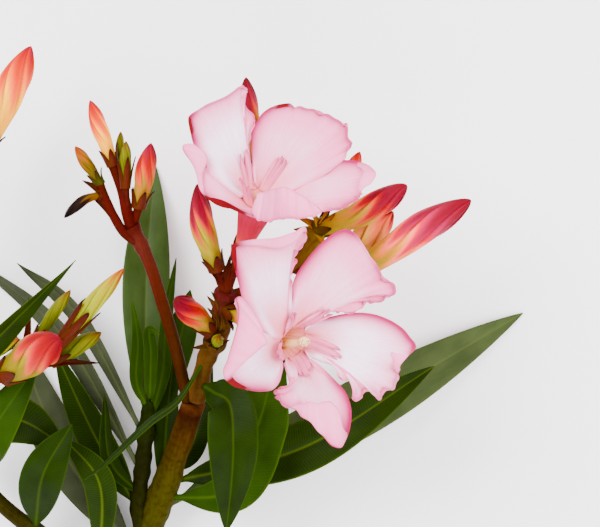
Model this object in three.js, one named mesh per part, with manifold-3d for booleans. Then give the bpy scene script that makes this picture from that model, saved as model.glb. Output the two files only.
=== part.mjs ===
// A flowering oleander branch, cut and laid down on a flat surface.
// Three leafy shoots leave one stem. The tallest carries two open blooms and their buds,
// the left one a second cluster of buds, and the middle one a tuft of young leaves.
// Millimetres, +Z up, the blooms face up, and the surface is at Z = 0.
import * as THREE from 'three';
import { mergeVertices } from 'three/addons/utils/BufferGeometryUtils.js';
import Module from 'manifold-3d';

const wasm = await Module();
wasm.setup();

// Where the middle of the branch's footprint and its lowest point lie in the sizes below
const FOOTPRINT_X = 1.9;
const FOOTPRINT_Y = -2.2;
const LOWEST_Z = 0.13;

// Air left between a piece and the limb that carries it
const SEAT_GAP = 0.35;

// Limbs are round in section, with this many sides and this many steps between two places
const LIMB_SIDES = 8;
const LIMB_STEPS = 3;
const TWIG_SIDES = 5;
const TWIG_STEPS = 2;
const BRACT_SIDES = 4;
const BRACT_RADII = [0.7, 0.15];

// Leaves: stalk, blade outline and thickness
const LEAF_ROWS = 10;
const STALK_SHARE = 0.07;
const STALK_HALF_WIDTH = 0.85;
const STALK_SHARE_OF_WIDTH = 0.14;
const LEAF_TIP_HALF_WIDTH = 0.25;
const BLADE_EARLY = 0.86;
const BLADE_FULLNESS = 0.82;
const MIDRIB_THICKNESS = 1.15;
const LEAF_EDGE_THICKNESS = 0.55;
const STALK_THICKNESS = 1.5;
const LEAF_TIP_THINNING = 0.6;

// Petals: thickness, and how many rows and columns of points make one
const PETAL_THICKNESS = 0.9;
const PETAL_ROWS = 5;
const PETAL_COLUMNS = 9;
const PETAL_ARCH = 1.8;
const PETAL_BELLY = 0.8;

// Corolla tube: radius at shares of the way from the calyx to the throat
const THROAT_RADIUS = 4.7;
const TUBE_SHARES = [0, 0.12, 0.45, 0.75, 1];
const TUBE_RADII = [1.3, 1.7, 2.7, 3.9, THROAT_RADIUS];
const TUBE_SIDES = 10;
const THROAT_WALL = 0.9;
const THROAT_FLOOR_SHARE = 0.5;
const THROAT_CLEAR_ABOVE = 3;
const ANTHER_FOOT_SHARE = 0.46;
const ANTHER_RADII = [1.1, 0.4];
const ANTHER_LENGTH = 7;

// Buds: five wound petals seen as five lobes, with a calyx of five narrow sepals
const BUD_ROWS = 6;
const SMALL_BUD_GIRTH = 4.2;
const SMALL_BUD_ROWS = 3;
const BUD_LOBES = 5;
const BUD_LOBE_DEPTH = 0.12;
const BUD_TWIST = 1.3;
const BUD_NECK = 0.5;
const BUD_WIDEST = 0.58;
const BUD_TIP = 0.1;
const LARGEST_CALYX_SHARE = 0.8;
const SEPAL_THICKNESS = 0.45;
const SEPAL_FLARE = 0.35;
const SEPAL_NOTCH = 0.35;

// Limbs: the places that each runs through, its radius at the foot and at the tip,
// and the limbs that it is cut clear of
const LIMBS = {
  stem: {
    through: [[-26.2, -70.9, 3.4], [-20.3, -53.6, 6], [-14, -36.1, 13], [-8.5, -20.3, 22.5]],
    radii: [3.3, 2.9],
    clearOf: [],
  },
  middle_shoot: {
    through: [[-21.4, -56.6, 5.6], [-22.8, -46.7, 7.5], [-21.6, -35.7, 10], [-20, -19.6, 13]],
    radii: [2.2, 1.6],
    clearOf: ['stem'],
  },
  left_shoot: {
    through: [[-24, -64.5, 4.4], [-42, -57.5, 5], [-58, -45.5, 9], [-66.5, -31, 16], [-66.5, -20.3, 22]],
    radii: [2.3, 1.6],
    clearOf: ['stem'],
  },
  flower_axis: {
    through: [[-7.9, -19.6, 23.5], [-5.6, -10.2, 29], [-2.4, -3.5, 33], [-1.1, 3.9, 37], [-0.3, 7.3, 39]],
    radii: [2.3, 1.6],
    clearOf: ['stem'],
  },
  left_peduncle: {
    through: [[-10, -20, 23.5], [-13.1, -6.1, 27.5], [-16, 3.8, 29], [-19.1, 13.7, 30],
      [-22.1, 20.3, 31], [-23.7, 23.2, 32]],
    radii: [1.5, 1.6],
    clearOf: ['stem', 'flower_axis'],
  },
  left_cluster_stem: {
    through: [[-66.5, -20.3, 22], [-61.5, -17.6, 28], [-56.7, -14.5, 34], [-54.1, -12.7, 37]],
    radii: [1.5, 1.1],
    clearOf: ['left_shoot'],
  },
  top_left_stem: {
    through: [[-67, -26.4, 18.6], [-68, -8, 22], [-65.4, 17.4, 26], [-61.6, 35.9, 28], [-59.3, 44, 29]],
    radii: [1.3, 1],
    clearOf: ['left_shoot'],
  },
};

// Twigs are fused to the limb they leave: its name, how far along it, then the places on the way
const TWIGS = {
  truss_left: { on: 'left_peduncle', at: 0.86, through: [[-25.9, 22.3, 32.4], [-28.1, 25.3, 33.4],
    [-29.5, 28.8, 34], [-31.2, 34, 34]], radii: [1.5, 1.2] },
  truss_middle: { on: 'left_peduncle', at: 0.97, through: [[-24.6, 26.4, 33], [-25.9, 32.1, 33],
    [-28.4, 39, 34]], radii: [1.6, 1.2] },
  truss_green: { on: 'truss_middle', at: 0.5, through: [[-26.8, 38.4, 30.8]], radii: [0.8, 0.6] },
  truss_calyx: { on: 'truss_middle', at: 0.3, through: [[-25, 33.4, 34.8]], radii: [0.9, 0.8] },
  truss_right: { on: 'left_peduncle', at: 1, through: [[-22.6, 25.2, 32.4], [-21.7, 28.6, 33]],
    radii: [1.2, 1] },
  truss_wilted: { on: 'truss_left', at: 0.7, through: [[-32, 30.6, 34.6]], radii: [0.9, 0.6] },
  tall_bud_twig: { on: 'flower_axis', at: 0.97, through: [[-1.7, 10.3, 40.6], [-2.7, 13.4, 42]],
    radii: [1.3, 1.1] },
  upper_twig: { on: 'flower_axis', at: 0.98, through: [[1.2, 11.4, 41.4], [3, 15.2, 43.6]],
    radii: [1.4, 1.2] },
  lower_twig: { on: 'flower_axis', at: 0.72, through: [[0.3, 2.2, 37.6]], radii: [1.6, 1.4] },
  short_bud_twig: { on: 'flower_axis', at: 0.5, through: [[-4.4, -1.9, 36]], radii: [1.1, 1] },
  node_bud_twig: { on: 'flower_axis', at: 0.44, through: [[-2.6, -5.6, 35.6]], radii: [1.1, 0.9] },
  right_cluster: { on: 'flower_axis', at: 0.86, through: [[8.5, 8.8, 35], [16.5, 14.4, 35],
    [20.7, 19.8, 37], [22.6, 22.6, 38.6]], radii: [1.3, 2.5] },
  back_bud_twig: { on: 'flower_axis', at: 0.94, through: [[3.6, 17.6, 34.5], [5.5, 28.4, 30.5],
    [6, 36.5, 30]], radii: [1, 0.9] },
  long_bud_twig: { on: 'right_cluster', at: 0.45, through: [[23.5, 9.6, 34.6], [30, 9.6, 37]],
    radii: [1.1, 1] },
  middle_bud_twig: { on: 'right_cluster', at: 0.62, through: [[25, 13.8, 33.2], [31.2, 13.6, 32.6]],
    radii: [1, 0.9] },
  tip_bud_twig: { on: 'right_cluster', at: 0.8, through: [[24.5, 27.6, 33], [28.3, 32, 34.5]],
    radii: [0.9, 0.7] },
  cluster_high: { on: 'left_cluster_stem', at: 0.5, through: [[-48.5, -10.4, 33.4], [-42, -6.6, 37]],
    radii: [1, 0.9] },
  cluster_low: { on: 'cluster_high', at: 0.4, through: [[-42.6, -9.8, 33]], radii: [0.8, 0.7] },
  cluster_up: { on: 'left_cluster_stem', at: 0.44, through: [[-52, -9.4, 33], [-47, -4.6, 35]],
    radii: [0.8, 0.7] },
  cluster_left: { on: 'left_cluster_stem', at: 0.3, through: [[-60.4, -9.6, 30]], radii: [0.8, 0.7] },
};

// Bracts and free sepals are fused to a twig or limb: its name, how far along, and their tip
const BRACTS = [
  ['tall_bud_twig', 0.35, [1, 16.4, 42.5]],
  ['upper_twig', 0.35, [1.3, 14.6, 43.4]],
  ['flower_axis', 0.62, [-5, 6, 31]],
  ['right_cluster', 0.98, [17, 25.4, 38.6]],
  ['right_cluster', 0.9, [16.2, 22.4, 37]],
  ['right_cluster', 0.75, [15.8, 16.4, 39]],
  ['truss_left', 0.85, [-35.6, 34.4, 32.6]],
  ['cluster_up', 0.7, [-48.5, 5.6, 37]],
  ['cluster_low', 0.4, [-31.5, -10.4, 31]],
];

// Buds: the limb or twig whose tip carries each, the places it runs through, its girth,
// and the length of its sepals
const BUDS = {
  bud_tall: { on: 'tall_bud_twig', through: [[-5.4, 21.6, 45.5], [-7.1, 33.3, 48]], girth: 5.7, sepals: 5.4 },
  bud_short: { on: 'short_bud_twig', through: [[-12.6, 5.7, 41]], girth: 5.8, sepals: 3.4 },
  bud_back: { on: 'back_bud_twig', through: [[4.5, 59.8, 33]], girth: 5.4, sepals: 5 },
  bud_right_upper: { on: 'right_cluster', through: [[33.8, 26.8, 42.5], [43.7, 33, 46]],
    girth: 6.2, sepals: 6 },
  bud_right_middle: { on: 'middle_bud_twig', through: [[40.2, 26.7, 37.2]], girth: 5.4, sepals: 5 },
  bud_right_long: { on: 'long_bud_twig', through: [[44, 17.4, 41.5], [58.9, 29.4, 46]],
    girth: 7.6, sepals: 6 },
  bud_right_tip: { on: 'tip_bud_twig', through: [[32.4, 41.4, 37]], girth: 3.4, sepals: 3 },
  bud_left_pale: { on: 'truss_middle', through: [[-33.5, 53.9, 38]], girth: 3.9, sepals: 4.6 },
  bud_left_red: { on: 'truss_right', through: [[-18.6, 43.5, 37]], girth: 4.7, sepals: 5 },
  bud_left_small: { on: 'truss_left', through: [[-37.2, 42.7, 37]], girth: 2.9, sepals: 4 },
  bud_left_wilted: { on: 'truss_wilted', through: [[-35.6, 29.2, 36], [-40, 25.2, 35]],
    girth: 2.5, sepals: 1.5 },
  bud_left_green: { on: 'truss_green', through: [[-26.3, 46.5, 31]], girth: 2, sepals: 2.4 },
  bud_left_calyx: { on: 'truss_calyx', through: [[-24.8, 44, 36.4]], girth: 2.8, sepals: 8 },
  bud_axis_small: { on: 'node_bud_twig', through: [[-2, -3.8, 40.4]], girth: 2.8, sepals: 1.8 },
  bud_cluster_pink: { on: 'left_cluster_stem', through: [[-40.4, -4.2, 45]], girth: 9, sepals: 5.4 },
  bud_cluster_yellow: { on: 'cluster_high', through: [[-25, 12.9, 42]], girth: 4.6, sepals: 12 },
  bud_cluster_low: { on: 'cluster_low', through: [[-30.9, -2.8, 34.4]], girth: 4, sepals: 6 },
  bud_cluster_up: { on: 'cluster_up', through: [[-38.2, 7.6, 38.6]], girth: 3, sepals: 5 },
  bud_cluster_left: { on: 'cluster_left', through: [[-51, -4.4, 34]], girth: 3, sepals: 2.6 },
  bud_top_left: { on: 'top_left_stem', through: [[-48.2, 67.4, 33]], girth: 7.4, sepals: 4.6 },
};

// Leaves: the limb each grows on and how far along it, the places its midrib runs through
// after that, its width, its roll at the foot and at the tip in degrees, and the angle
// that its two halves fold up by
const LEAVES = {
  leaf_right_back: { on: 'stem', at: 0.44, through: [[30.9, -23.4, 5], [74.2, 1.5, 0.47]], width: 15,
    roll: [0, 0], fold: 8 },
  leaf_right_front: { on: 'stem', at: 0.57, through: [[18.5, -31.9, 16], [51.1, -11.4, 21]], width: 13.4,
    roll: [-8, 0], fold: 14 },
  leaf_front_broad: { on: 'flower_axis', at: 0.1, through: [[-3.6, -17.4, 33], [0.6, -20.2, 39],
    [1.5, -29.5, 41], [1, -40, 37.5], [-0.4, -52, 30]], width: 12, roll: [0, 0], fold: 10 },
  leaf_front_strip: { on: 'stem', at: 0.5, through: [[0.6, -42.4, 19], [14, -17, 25]], width: 10.4,
    roll: [10, 25], fold: 10 },
  leaf_behind_stem: { on: 'stem', at: 0.62, through: [[-8.9, -30.3, 9], [-4.4, -7.7, 8]], width: 7,
    roll: [0, 0], fold: 10 },
  leaf_edge_on: { on: 'flower_axis', at: 0.3, through: [[-12, -19.5, 31], [-19.4, -25.2, 30],
    [-29.6, -34.9, 27], [-35.6, -39.5, 25]], width: 6, roll: [70, 75], fold: 6 },
  leaf_middle_tall: { on: 'middle_shoot', at: 0.84, through: [[-20.9, 9.4, 8], [-18.9, 39, 0.47]],
    width: 12, roll: [0, 0], fold: 10 },
  leaf_middle_right: { on: 'middle_shoot', at: 0.7, through: [[-12.8, -6.4, 6.5], [-9.9, 7.4, 5]], width: 8,
    roll: [0, 0], fold: 12 },
  leaf_middle_narrow: { on: 'middle_shoot', at: 0.84, through: [[-16.8, -14, 13], [-15.7, -0.1, 14],
    [-13.2, 15.4, 13.6]], width: 4.4, roll: [30, 40], fold: 10 },
  leaf_young_left: { on: 'middle_shoot', at: 0.94, through: [[-23, -15.4, 16], [-22.6, -5, 18],
    [-24.1, 5.2, 17]], width: 3.4, roll: [0, -20], fold: 14 },
  leaf_young_curled: { on: 'middle_shoot', at: 1, through: [[-19.6, -17.4, 18], [-19.3, -8, 21],
    [-19.6, -2.6, 22], [-16.9, -3.4, 24]], width: 3.4, roll: [0, 0], fold: 14 },
  leaf_middle_low: { on: 'stem', at: 0.52, through: [[-15.8, -26.4, 10], [-14, -10.6, 9.6]], width: 6,
    roll: [0, 0], fold: 12 },
  leaf_left_upper: { on: 'middle_shoot', at: 0.8, through: [[-37.5, 0.4, 9], [-53.6, 14.2, 5]], width: 7,
    roll: [-50, -55], fold: 8 },
  leaf_left_long: { on: 'middle_shoot', at: 0.6, through: [[-42.2, -4, 6], [-65.7, 15.7, 0.42]], width: 8,
    roll: [-50, -50], fold: 8 },
  leaf_left_slope: { on: 'middle_shoot', at: 0.3, through: [[-34.6, -30, 7], [-45, -7.8, 9.6]], width: 10,
    roll: [-24, -24], fold: 8 },
  leaf_left_back: { on: 'stem', at: 0.2, through: [[-42.3, -33, 3], [-54.3, -4, 1.2]], width: 12,
    roll: [0, 0], fold: 6 },
  leaf_left_upright: { on: 'middle_shoot', at: 0.42, through: [[-29.9, -35, 13.6], [-31.1, -18.5, 15.4]],
    width: 5, roll: [40, 40], fold: 10 },
  leaf_left_low: { on: 'left_shoot', at: 0.12, through: [[-32.2, -41, 16.5], [-41.1, -29.3, 17]], width: 8,
    roll: [0, 0], fold: 10 },
  leaf_shoot_broad: { on: 'left_shoot', at: 0.62, through: [[-59.2, -28.8, 27], [-46.9, -10.9, 30]],
    width: 12, roll: [0, 0], fold: 10 },
  leaf_shoot_round: { on: 'left_shoot', at: 0.8, through: [[-53.2, -24.6, 21], [-40.8, -31.2, 18.5]],
    width: 12, roll: [0, 0], fold: 10 },
  leaf_shoot_low: { on: 'left_shoot', at: 0.35, through: [[-46, -38.6, 22], [-38.7, -25.7, 24]], width: 11,
    roll: [0, 0], fold: 10 },
  leaf_shoot_front: { on: 'left_shoot', at: 0.85, through: [[-66.5, -15, 33], [-52.6, -1.1, 46],
    [-36.3, 14.9, 50]], width: 8.6, roll: [10, 75], fold: 12 },
};

// Open blooms: the twig that carries each and the middle of its throat. A petal runs from
// its stretch of the throat's rim, given as two bearings, out to a margin, given as
// bearings in degrees and reaches from the throat. It lifts by the bloom's lift less the
// tilt of the bloom towards its lean.
const BLOOMS = {
  bloom_lower: {
    on: 'lower_twig',
    throat: [16.1, -4.8, 55],
    lift: 20,
    tilt: 28,
    lean: 0,
    anther: true,
    petals: [
      { root: [160, 94], margin: [[138, 13], [129, 20.7], [121, 27], [105, 25.5], [83, 27], [86, 19],
        [93, 13.5]] },
      { root: [94, 44], margin: [[95, 10], [88, 17.3], [76, 24.5], [65, 29.8], [53, 29], [35, 26.2],
        [27, 26.8], [25, 21.8], [30, 14.4]] },
      { root: [44, -36], margin: [[33, 12], [23, 17.5], [12, 22.6], [-2, 28.9], [-14, 25.8], [-23, 26.2],
        [-33, 24.3], [-42, 20], [-33, 15.8], [-33, 9]] },
      { root: [-36, -116], margin: [[-40, 8.5], [-42, 15.3], [-50, 21.3], [-57, 24.9], [-66, 27.6],
        [-71, 24], [-84, 17.4], [-107, 13.8], [-106, 10]] },
      { root: [-116, -200], margin: [[-113, 9.2], [-121, 13], [-140, 16.4], [-153, 18.2], [-170, 16],
        [-203, 14], [-219, 17], [-221, 13]] },
    ],
  },
  bloom_upper: {
    on: 'upper_twig',
    throat: [7.7, 29.3, 55],
    lift: 22,
    tilt: 52,
    lean: 77,
    anther: false,
    petals: [
      { root: [148, 96], margin: [[142, 14], [137, 20.3], [130, 25.8], [115, 26.2], [105, 25.9], [98, 27.8],
        [97, 23.4], [92, 18.3], [97, 12.3]] },
      { root: [96, 34], margin: [[103, 8.7], [96, 14.7], [90, 19], [84, 21.7], [75, 24.4], [63, 25],
        [50, 26.9], [40, 27.9], [30, 25.3], [27, 22.6], [28, 16.9]] },
      { root: [34, -30], margin: [[22, 11], [27, 18], [27, 21], [21, 25.5], [16, 28], [13, 29], [8, 27.6],
        [3, 23.3], [-4, 19.7], [-11, 15.6]] },
      { root: [-30, -108], margin: [[-2, 18.5], [-11, 15.6], [-18, 13], [-30, 8.9], [-71, 5.5],
        [-112, 4.6]] },
      { root: [-108, -212], margin: [[-115, 4.1], [-153, 6], [-175, 10.2], [-185, 13.3], [-198, 15],
        [-209, 18.6], [-215, 22], [-223, 16.9]] },
    ],
  },
};

const SKY = new THREE.Vector3(0, 0, 1);
const lerp = THREE.MathUtils.lerp;
const radians = THREE.MathUtils.degToRad;

// Solids: a closed geometry in, a solid for booleans out, and back again
function toSolid(geometry) {
  const bare = geometry.clone();
  bare.deleteAttribute('normal');
  bare.deleteAttribute('uv');
  const merged = mergeVertices(bare, 1e-4);
  return new wasm.Manifold(new wasm.Mesh({
    numProp: 3,
    vertProperties: new Float32Array(merged.attributes.position.array),
    triVerts: new Uint32Array(merged.index.array),
  }));
}

function toGeometry(solid) {
  const mesh = solid.getMesh();
  const geometry = new THREE.BufferGeometry();
  geometry.setAttribute('position', new THREE.BufferAttribute(new Float32Array(mesh.vertProperties), 3));
  geometry.setIndex(new THREE.BufferAttribute(new Uint32Array(mesh.triVerts), 1));
  return geometry;
}

// The largest piece of a solid, so that a scrap left by a cut is dropped
function largestPiece(solid) {
  const pieces = solid.decompose();
  return pieces.reduce((best, piece) => (piece.volume() > best.volume() ? piece : best));
}

// A closed skin from points and faces, turned outwards where its volume is negative
function closedSkin(points, faces) {
  let volume = 0;
  for (let corner = 0; corner < faces.length; corner += 3) {
    const [a, b, c] = [0, 1, 2].map((step) => points[faces[corner + step]]);
    volume += a.dot(new THREE.Vector3().crossVectors(b, c));
  }
  const geometry = new THREE.BufferGeometry().setFromPoints(points);
  geometry.setIndex(volume < 0 ? faces.slice().reverse() : faces);
  return geometry;
}

// A body carried from ring to ring, with a fan over each end
function loft(rings) {
  const size = rings[0].length;
  const points = rings.flat();
  const faces = [];
  for (let row = 0; row < rings.length - 1; row += 1) {
    for (let i = 0; i < size; i += 1) {
      const here = row * size + i;
      const next = row * size + ((i + 1) % size);
      faces.push(here, next, here + size, next, next + size, here + size);
    }
  }
  [rings[0], rings[rings.length - 1]].forEach((ring, end) => {
    const start = end * (rings.length - 1) * size;
    const centre = ring.reduce((sum, point) => sum.add(point), new THREE.Vector3()).divideScalar(size);
    const middle = points.push(centre) - 1;
    for (let i = 0; i < size; i += 1) {
      const pair = [start + i, start + ((i + 1) % size)];
      faces.push(middle, pair[1 - end], pair[end]);
    }
  });
  return closedSkin(points, faces);
}

// A sheet of a given thickness: two copies of a surface, set apart along its normal, and a rim
function slab(surface, thickness, rows, columns) {
  const layers = [[], []];
  const step = 0.001;
  for (let row = 0; row < rows; row += 1) {
    for (let column = 0; column < columns; column += 1) {
      const t = row / (rows - 1);
      const s = column / (columns - 1);
      const along = surface(Math.min(t + step, 1), s).sub(surface(Math.max(t - step, 0), s));
      const across = surface(t, Math.min(s + step, 1)).sub(surface(t, Math.max(s - step, 0)));
      const normal = across.cross(along).normalize();
      const half = thickness(t, s) / 2;
      layers[0].push(surface(t, s).addScaledVector(normal, half));
      layers[1].push(surface(t, s).addScaledVector(normal, -half));
    }
  }
  const below = rows * columns;
  const faces = [];
  for (let row = 0; row < rows - 1; row += 1) {
    for (let column = 0; column < columns - 1; column += 1) {
      const a = row * columns + column;
      const [b, c, d] = [a + 1, a + columns + 1, a + columns];
      faces.push(a, b, c, a, c, d);
      faces.push(below + a, below + c, below + b, below + a, below + d, below + c);
    }
  }
  const upTo = (count) => Array.from({ length: count }, (_, i) => i);
  const rim = [
    ...upTo(columns - 1),
    ...upTo(rows - 1).map((row) => row * columns + columns - 1),
    ...upTo(columns - 1).map((column) => rows * columns - 1 - column),
    ...upTo(rows - 1).map((row) => (rows - 1 - row) * columns),
  ];
  rim.forEach((here, i) => {
    const next = rim[(i + 1) % rim.length];
    faces.push(next, here, below + here, next, below + here, below + next);
  });
  return closedSkin([...layers[0], ...layers[1]], faces);
}

// A smooth curve through places, and the directions at one point of it
function curveThrough(places) {
  const points = places.map((place) => (place.isVector3 ? place : new THREE.Vector3(...place)));
  return new THREE.CatmullRomCurve3(points, false, 'catmullrom', 0.5);
}

function frameAt(curve, t, roll = 0) {
  const along = curve.getTangent(t);
  const side = new THREE.Vector3().crossVectors(along, SKY).normalize();
  const face = new THREE.Vector3().crossVectors(side, along);
  side.applyAxisAngle(along, roll);
  face.applyAxisAngle(along, roll);
  return { place: curve.getPoint(t), along, side, face };
}

function ringAt({ place, side, face }, sides, radiusAt) {
  return Array.from({ length: sides }, (_, i) => {
    const angle = (i / sides) * 2 * Math.PI;
    const radius = radiusAt(angle, i);
    return place.clone()
      .addScaledVector(side, Math.cos(angle) * radius)
      .addScaledVector(face, Math.sin(angle) * radius);
  });
}

// A round limb that tapers along a curve. The spare makes it fatter and longer by that much,
// for the clearance round it.
function limbGeometry(curve, [foot, tip], sides, steps, spare = 0) {
  const rings = [];
  for (let step = 0; step <= steps; step += 1) {
    const t = step / steps;
    const frame = frameAt(curve, t);
    if (spare > 0 && (step === 0 || step === steps)) {
      frame.place.addScaledVector(frame.along, step === 0 ? -spare : spare);
    }
    rings.push(ringAt(frame, sides, () => lerp(foot, tip, t) + spare));
  }
  return loft(rings);
}

// Limbs and twigs, each as its curve, its solid, and the solid with its clearance
const limbs = {};
for (const [name, { through, radii, clearOf }] of Object.entries(LIMBS)) {
  const curve = curveThrough(through);
  const steps = (through.length - 1) * LIMB_STEPS;
  const whole = toSolid(limbGeometry(curve, radii, LIMB_SIDES, steps));
  limbs[name] = {
    root: name,
    curve,
    solid: clearOf.reduce((rest, other) => rest.subtract(limbs[other].clearance), whole),
    clearance: toSolid(limbGeometry(curve, radii, LIMB_SIDES, steps, SEAT_GAP)),
  };
}
for (const [name, { on, at, through, radii }] of Object.entries(TWIGS)) {
  const foot = limbs[on].curve.getPoint(at);
  const curve = curveThrough([foot, ...through]);
  const steps = through.length * TWIG_STEPS;
  const root = limbs[on].root;
  const clearance = toSolid(limbGeometry(curve, radii, TWIG_SIDES, steps, SEAT_GAP));
  limbs[name] = { root, curve, clearance };
  limbs[root].solid = limbs[root].solid.add(toSolid(limbGeometry(curve, radii, TWIG_SIDES, steps)));
}
for (const [on, at, tip] of BRACTS) {
  const curve = curveThrough([limbs[on].curve.getPoint(at), tip]);
  const root = limbs[limbs[on].root];
  root.solid = root.solid.add(toSolid(limbGeometry(curve, BRACT_RADII, BRACT_SIDES, TWIG_STEPS)));
}

// One leaf: a stalk that widens into a lance-shaped blade, folded along its midrib
function leafSolid({ on, at, through, width, roll, fold }) {
  const curve = curveThrough([limbs[on].curve.getPoint(at), ...through]);
  const foldAngle = radians(fold);
  const stalkHalf = Math.min(STALK_HALF_WIDTH, width * STALK_SHARE_OF_WIDTH);
  const halfWidth = (t) => {
    const blade = Math.max(t - STALK_SHARE, 0) / (1 - STALK_SHARE);
    const outline = Math.max(Math.sin(Math.PI * blade ** BLADE_EARLY), 0) ** BLADE_FULLNESS;
    return Math.hypot((outline * width) / 2, lerp(stalkHalf, LEAF_TIP_HALF_WIDTH, t));
  };
  const surface = (t, s) => {
    const { place, side, face } = frameAt(curve, t, radians(lerp(roll[0], roll[1], t)));
    const across = (2 * s - 1) * halfWidth(t);
    return place
      .addScaledVector(side, across * Math.cos(foldAngle))
      .addScaledVector(face, Math.abs(across) * Math.sin(foldAngle));
  };
  const thickness = (t, s) => {
    const blade = lerp(MIDRIB_THICKNESS, LEAF_EDGE_THICKNESS, Math.abs(2 * s - 1));
    const stalk = Math.max(1 - t / (2 * STALK_SHARE), 0);
    return lerp(blade, Math.min(STALK_THICKNESS, 2 * stalkHalf), stalk) * lerp(1, LEAF_TIP_THINNING, t * t);
  };
  return toSolid(slab(surface, thickness, LEAF_ROWS, 3));
}

// How a bud swells from its neck and closes to its tip, as a share of its girth
function budOutline(t) {
  if (t < BUD_WIDEST) return lerp(BUD_NECK, 1, Math.sin((t / BUD_WIDEST) * Math.PI / 2) ** 1.5);
  return lerp(1, BUD_TIP, ((t - BUD_WIDEST) / (1 - BUD_WIDEST)) ** 1.9);
}

// One bud: a calyx of five pointed sepals, whose rim runs up to their tips and down to the
// notches between them, and out of it a spindle of five wound lobes
function budSolid({ on, through, girth, sepals }) {
  const curve = curveThrough([limbs[on].curve.getPoint(1), ...through]);
  const share = Math.min(sepals / curve.getLength(), LARGEST_CALYX_SHARE);
  const rows = girth < SMALL_BUD_GIRTH ? SMALL_BUD_ROWS : BUD_ROWS;
  const ring = (shareAt, radiusAt) => Array.from({ length: 2 * BUD_LOBES }, (_, i) => {
    const t = shareAt(i % 2 === 0);
    const { place, side, face } = frameAt(curve, t, t * BUD_TWIST);
    const angle = (i / BUD_LOBES) * Math.PI;
    const onLobe = i % 2 === 0;
    const dip = onLobe ? 1 : 1 - BUD_LOBE_DEPTH;
    const radius = (girth / 2) * budOutline(t) * dip + radiusAt(onLobe);
    return place
      .addScaledVector(side, Math.cos(angle) * radius)
      .addScaledVector(face, Math.sin(angle) * radius);
  });
  const rimShare = (tip) => share * (tip ? 1 : SEPAL_NOTCH);
  const rings = [
    ring(() => 0, () => 0),
    ring(rimShare, (tip) => SEPAL_THICKNESS + (tip ? SEPAL_FLARE : 0)),
    ring(rimShare, () => 0),
  ];
  for (let row = 1; row <= rows; row += 1) {
    rings.push(ring(() => lerp(share, 1, row / rows), () => 0));
  }
  return toSolid(loft(rings));
}

// One open bloom: a corolla tube that widens to a hollow throat, and five petals
function bloomSolid({ on, throat, lift, tilt, lean, anther, petals }) {
  const middle = new THREE.Vector3(...throat);
  const tube = curveThrough([limbs[on].curve.getPoint(1), middle]);
  const { along } = frameAt(tube, 1);
  const tubeRing = (share, radius) => ringAt(frameAt(tube, share), TUBE_SIDES, () => radius);
  let solid = toSolid(loft(TUBE_SHARES.map((share, i) => tubeRing(share, TUBE_RADII[i]))));

  // A point of the rim at a bearing, and a point of a margin at a bearing and a reach
  const onRim = (bearing) => {
    const level = new THREE.Vector3(Math.cos(bearing), Math.sin(bearing), 0);
    const spoke = level.clone().addScaledVector(SKY, -level.dot(along) / along.z).normalize();
    return middle.clone().addScaledVector(spoke, THROAT_RADIUS - PETAL_THICKNESS / 2);
  };
  const onMargin = ([bearing, reach]) => {
    const slope = radians(lift - tilt * Math.cos(radians(bearing - lean)));
    return middle.clone().add(new THREE.Vector3(
      reach * Math.cos(radians(bearing)),
      reach * Math.sin(radians(bearing)),
      reach * Math.tan(slope),
    ));
  };
  petals.forEach(({ root, margin }) => {
    const edge = curveThrough(margin.map(onMargin));
    const surface = (t, s) => {
      const foot = onRim(radians(lerp(root[0], root[1], s)));
      const end = edge.getPoint(s);
      const outward = end.clone().sub(foot).normalize();
      const sideways = new THREE.Vector3().crossVectors(outward, along).normalize();
      return foot.lerp(end, t)
        .addScaledVector(along, PETAL_ARCH * Math.sin(Math.PI * t ** 0.7))
        .addScaledVector(sideways, PETAL_BELLY * (2 * s - 1) * Math.sin(Math.PI * t));
    };
    solid = solid.add(toSolid(slab(surface, () => PETAL_THICKNESS, PETAL_ROWS, PETAL_COLUMNS)));
  });

  // The throat is open, and the cone of anthers stands in it
  const mouth = tubeRing(1, THROAT_RADIUS - THROAT_WALL);
  const above = mouth.map((point) => point.clone().addScaledVector(along, THROAT_CLEAR_ABOVE));
  solid = solid.subtract(toSolid(loft([tubeRing(THROAT_FLOOR_SHARE, ANTHER_RADII[0]), mouth, above])));
  if (anther) {
    const foot = tube.getPoint(ANTHER_FOOT_SHARE);
    const cone = curveThrough([foot, foot.clone().addScaledVector(along, ANTHER_LENGTH)]);
    solid = solid.add(toSolid(limbGeometry(cone, ANTHER_RADII, TWIG_SIDES, TWIG_STEPS)));
  }
  return solid;
}

// Colours and finishes
const FINISHES = {
  bark: [0x7a6a2c, 0.6],
  peduncle: [0x7a2318, 0.5],
  leaf: [0x3c5a1c, 0.45],
  petal: [0xf7d3de, 0.55],
  bud_red: [0xd9434a, 0.45],
  bud_orange: [0xe79a52, 0.45],
  bud_green: [0x8f9a35, 0.5],
  bud_wilted: [0x2c1d1e, 0.6],
};
const BUD_FINISHES = {
  bud_right_middle: 'bud_orange',
  bud_left_pale: 'bud_orange',
  bud_cluster_yellow: 'bud_orange',
  bud_cluster_left: 'bud_orange',
  bud_top_left: 'bud_orange',
  bud_left_small: 'bud_green',
  bud_left_green: 'bud_green',
  bud_cluster_low: 'bud_green',
  bud_cluster_up: 'bud_green',
  bud_left_wilted: 'bud_wilted',
};

function finish(name) {
  const [color, roughness] = FINISHES[name];
  return new THREE.MeshStandardMaterial({ color, roughness, metalness: 0 });
}

// The branch
const branch = new THREE.Group();
branch.position.set(-FOOTPRINT_X, -FOOTPRINT_Y, -LOWEST_Z);

function addPiece(name, solid, finishName) {
  const piece = new THREE.Mesh(toGeometry(largestPiece(solid)), finish(finishName));
  piece.name = name;
  branch.add(piece);
}

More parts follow.
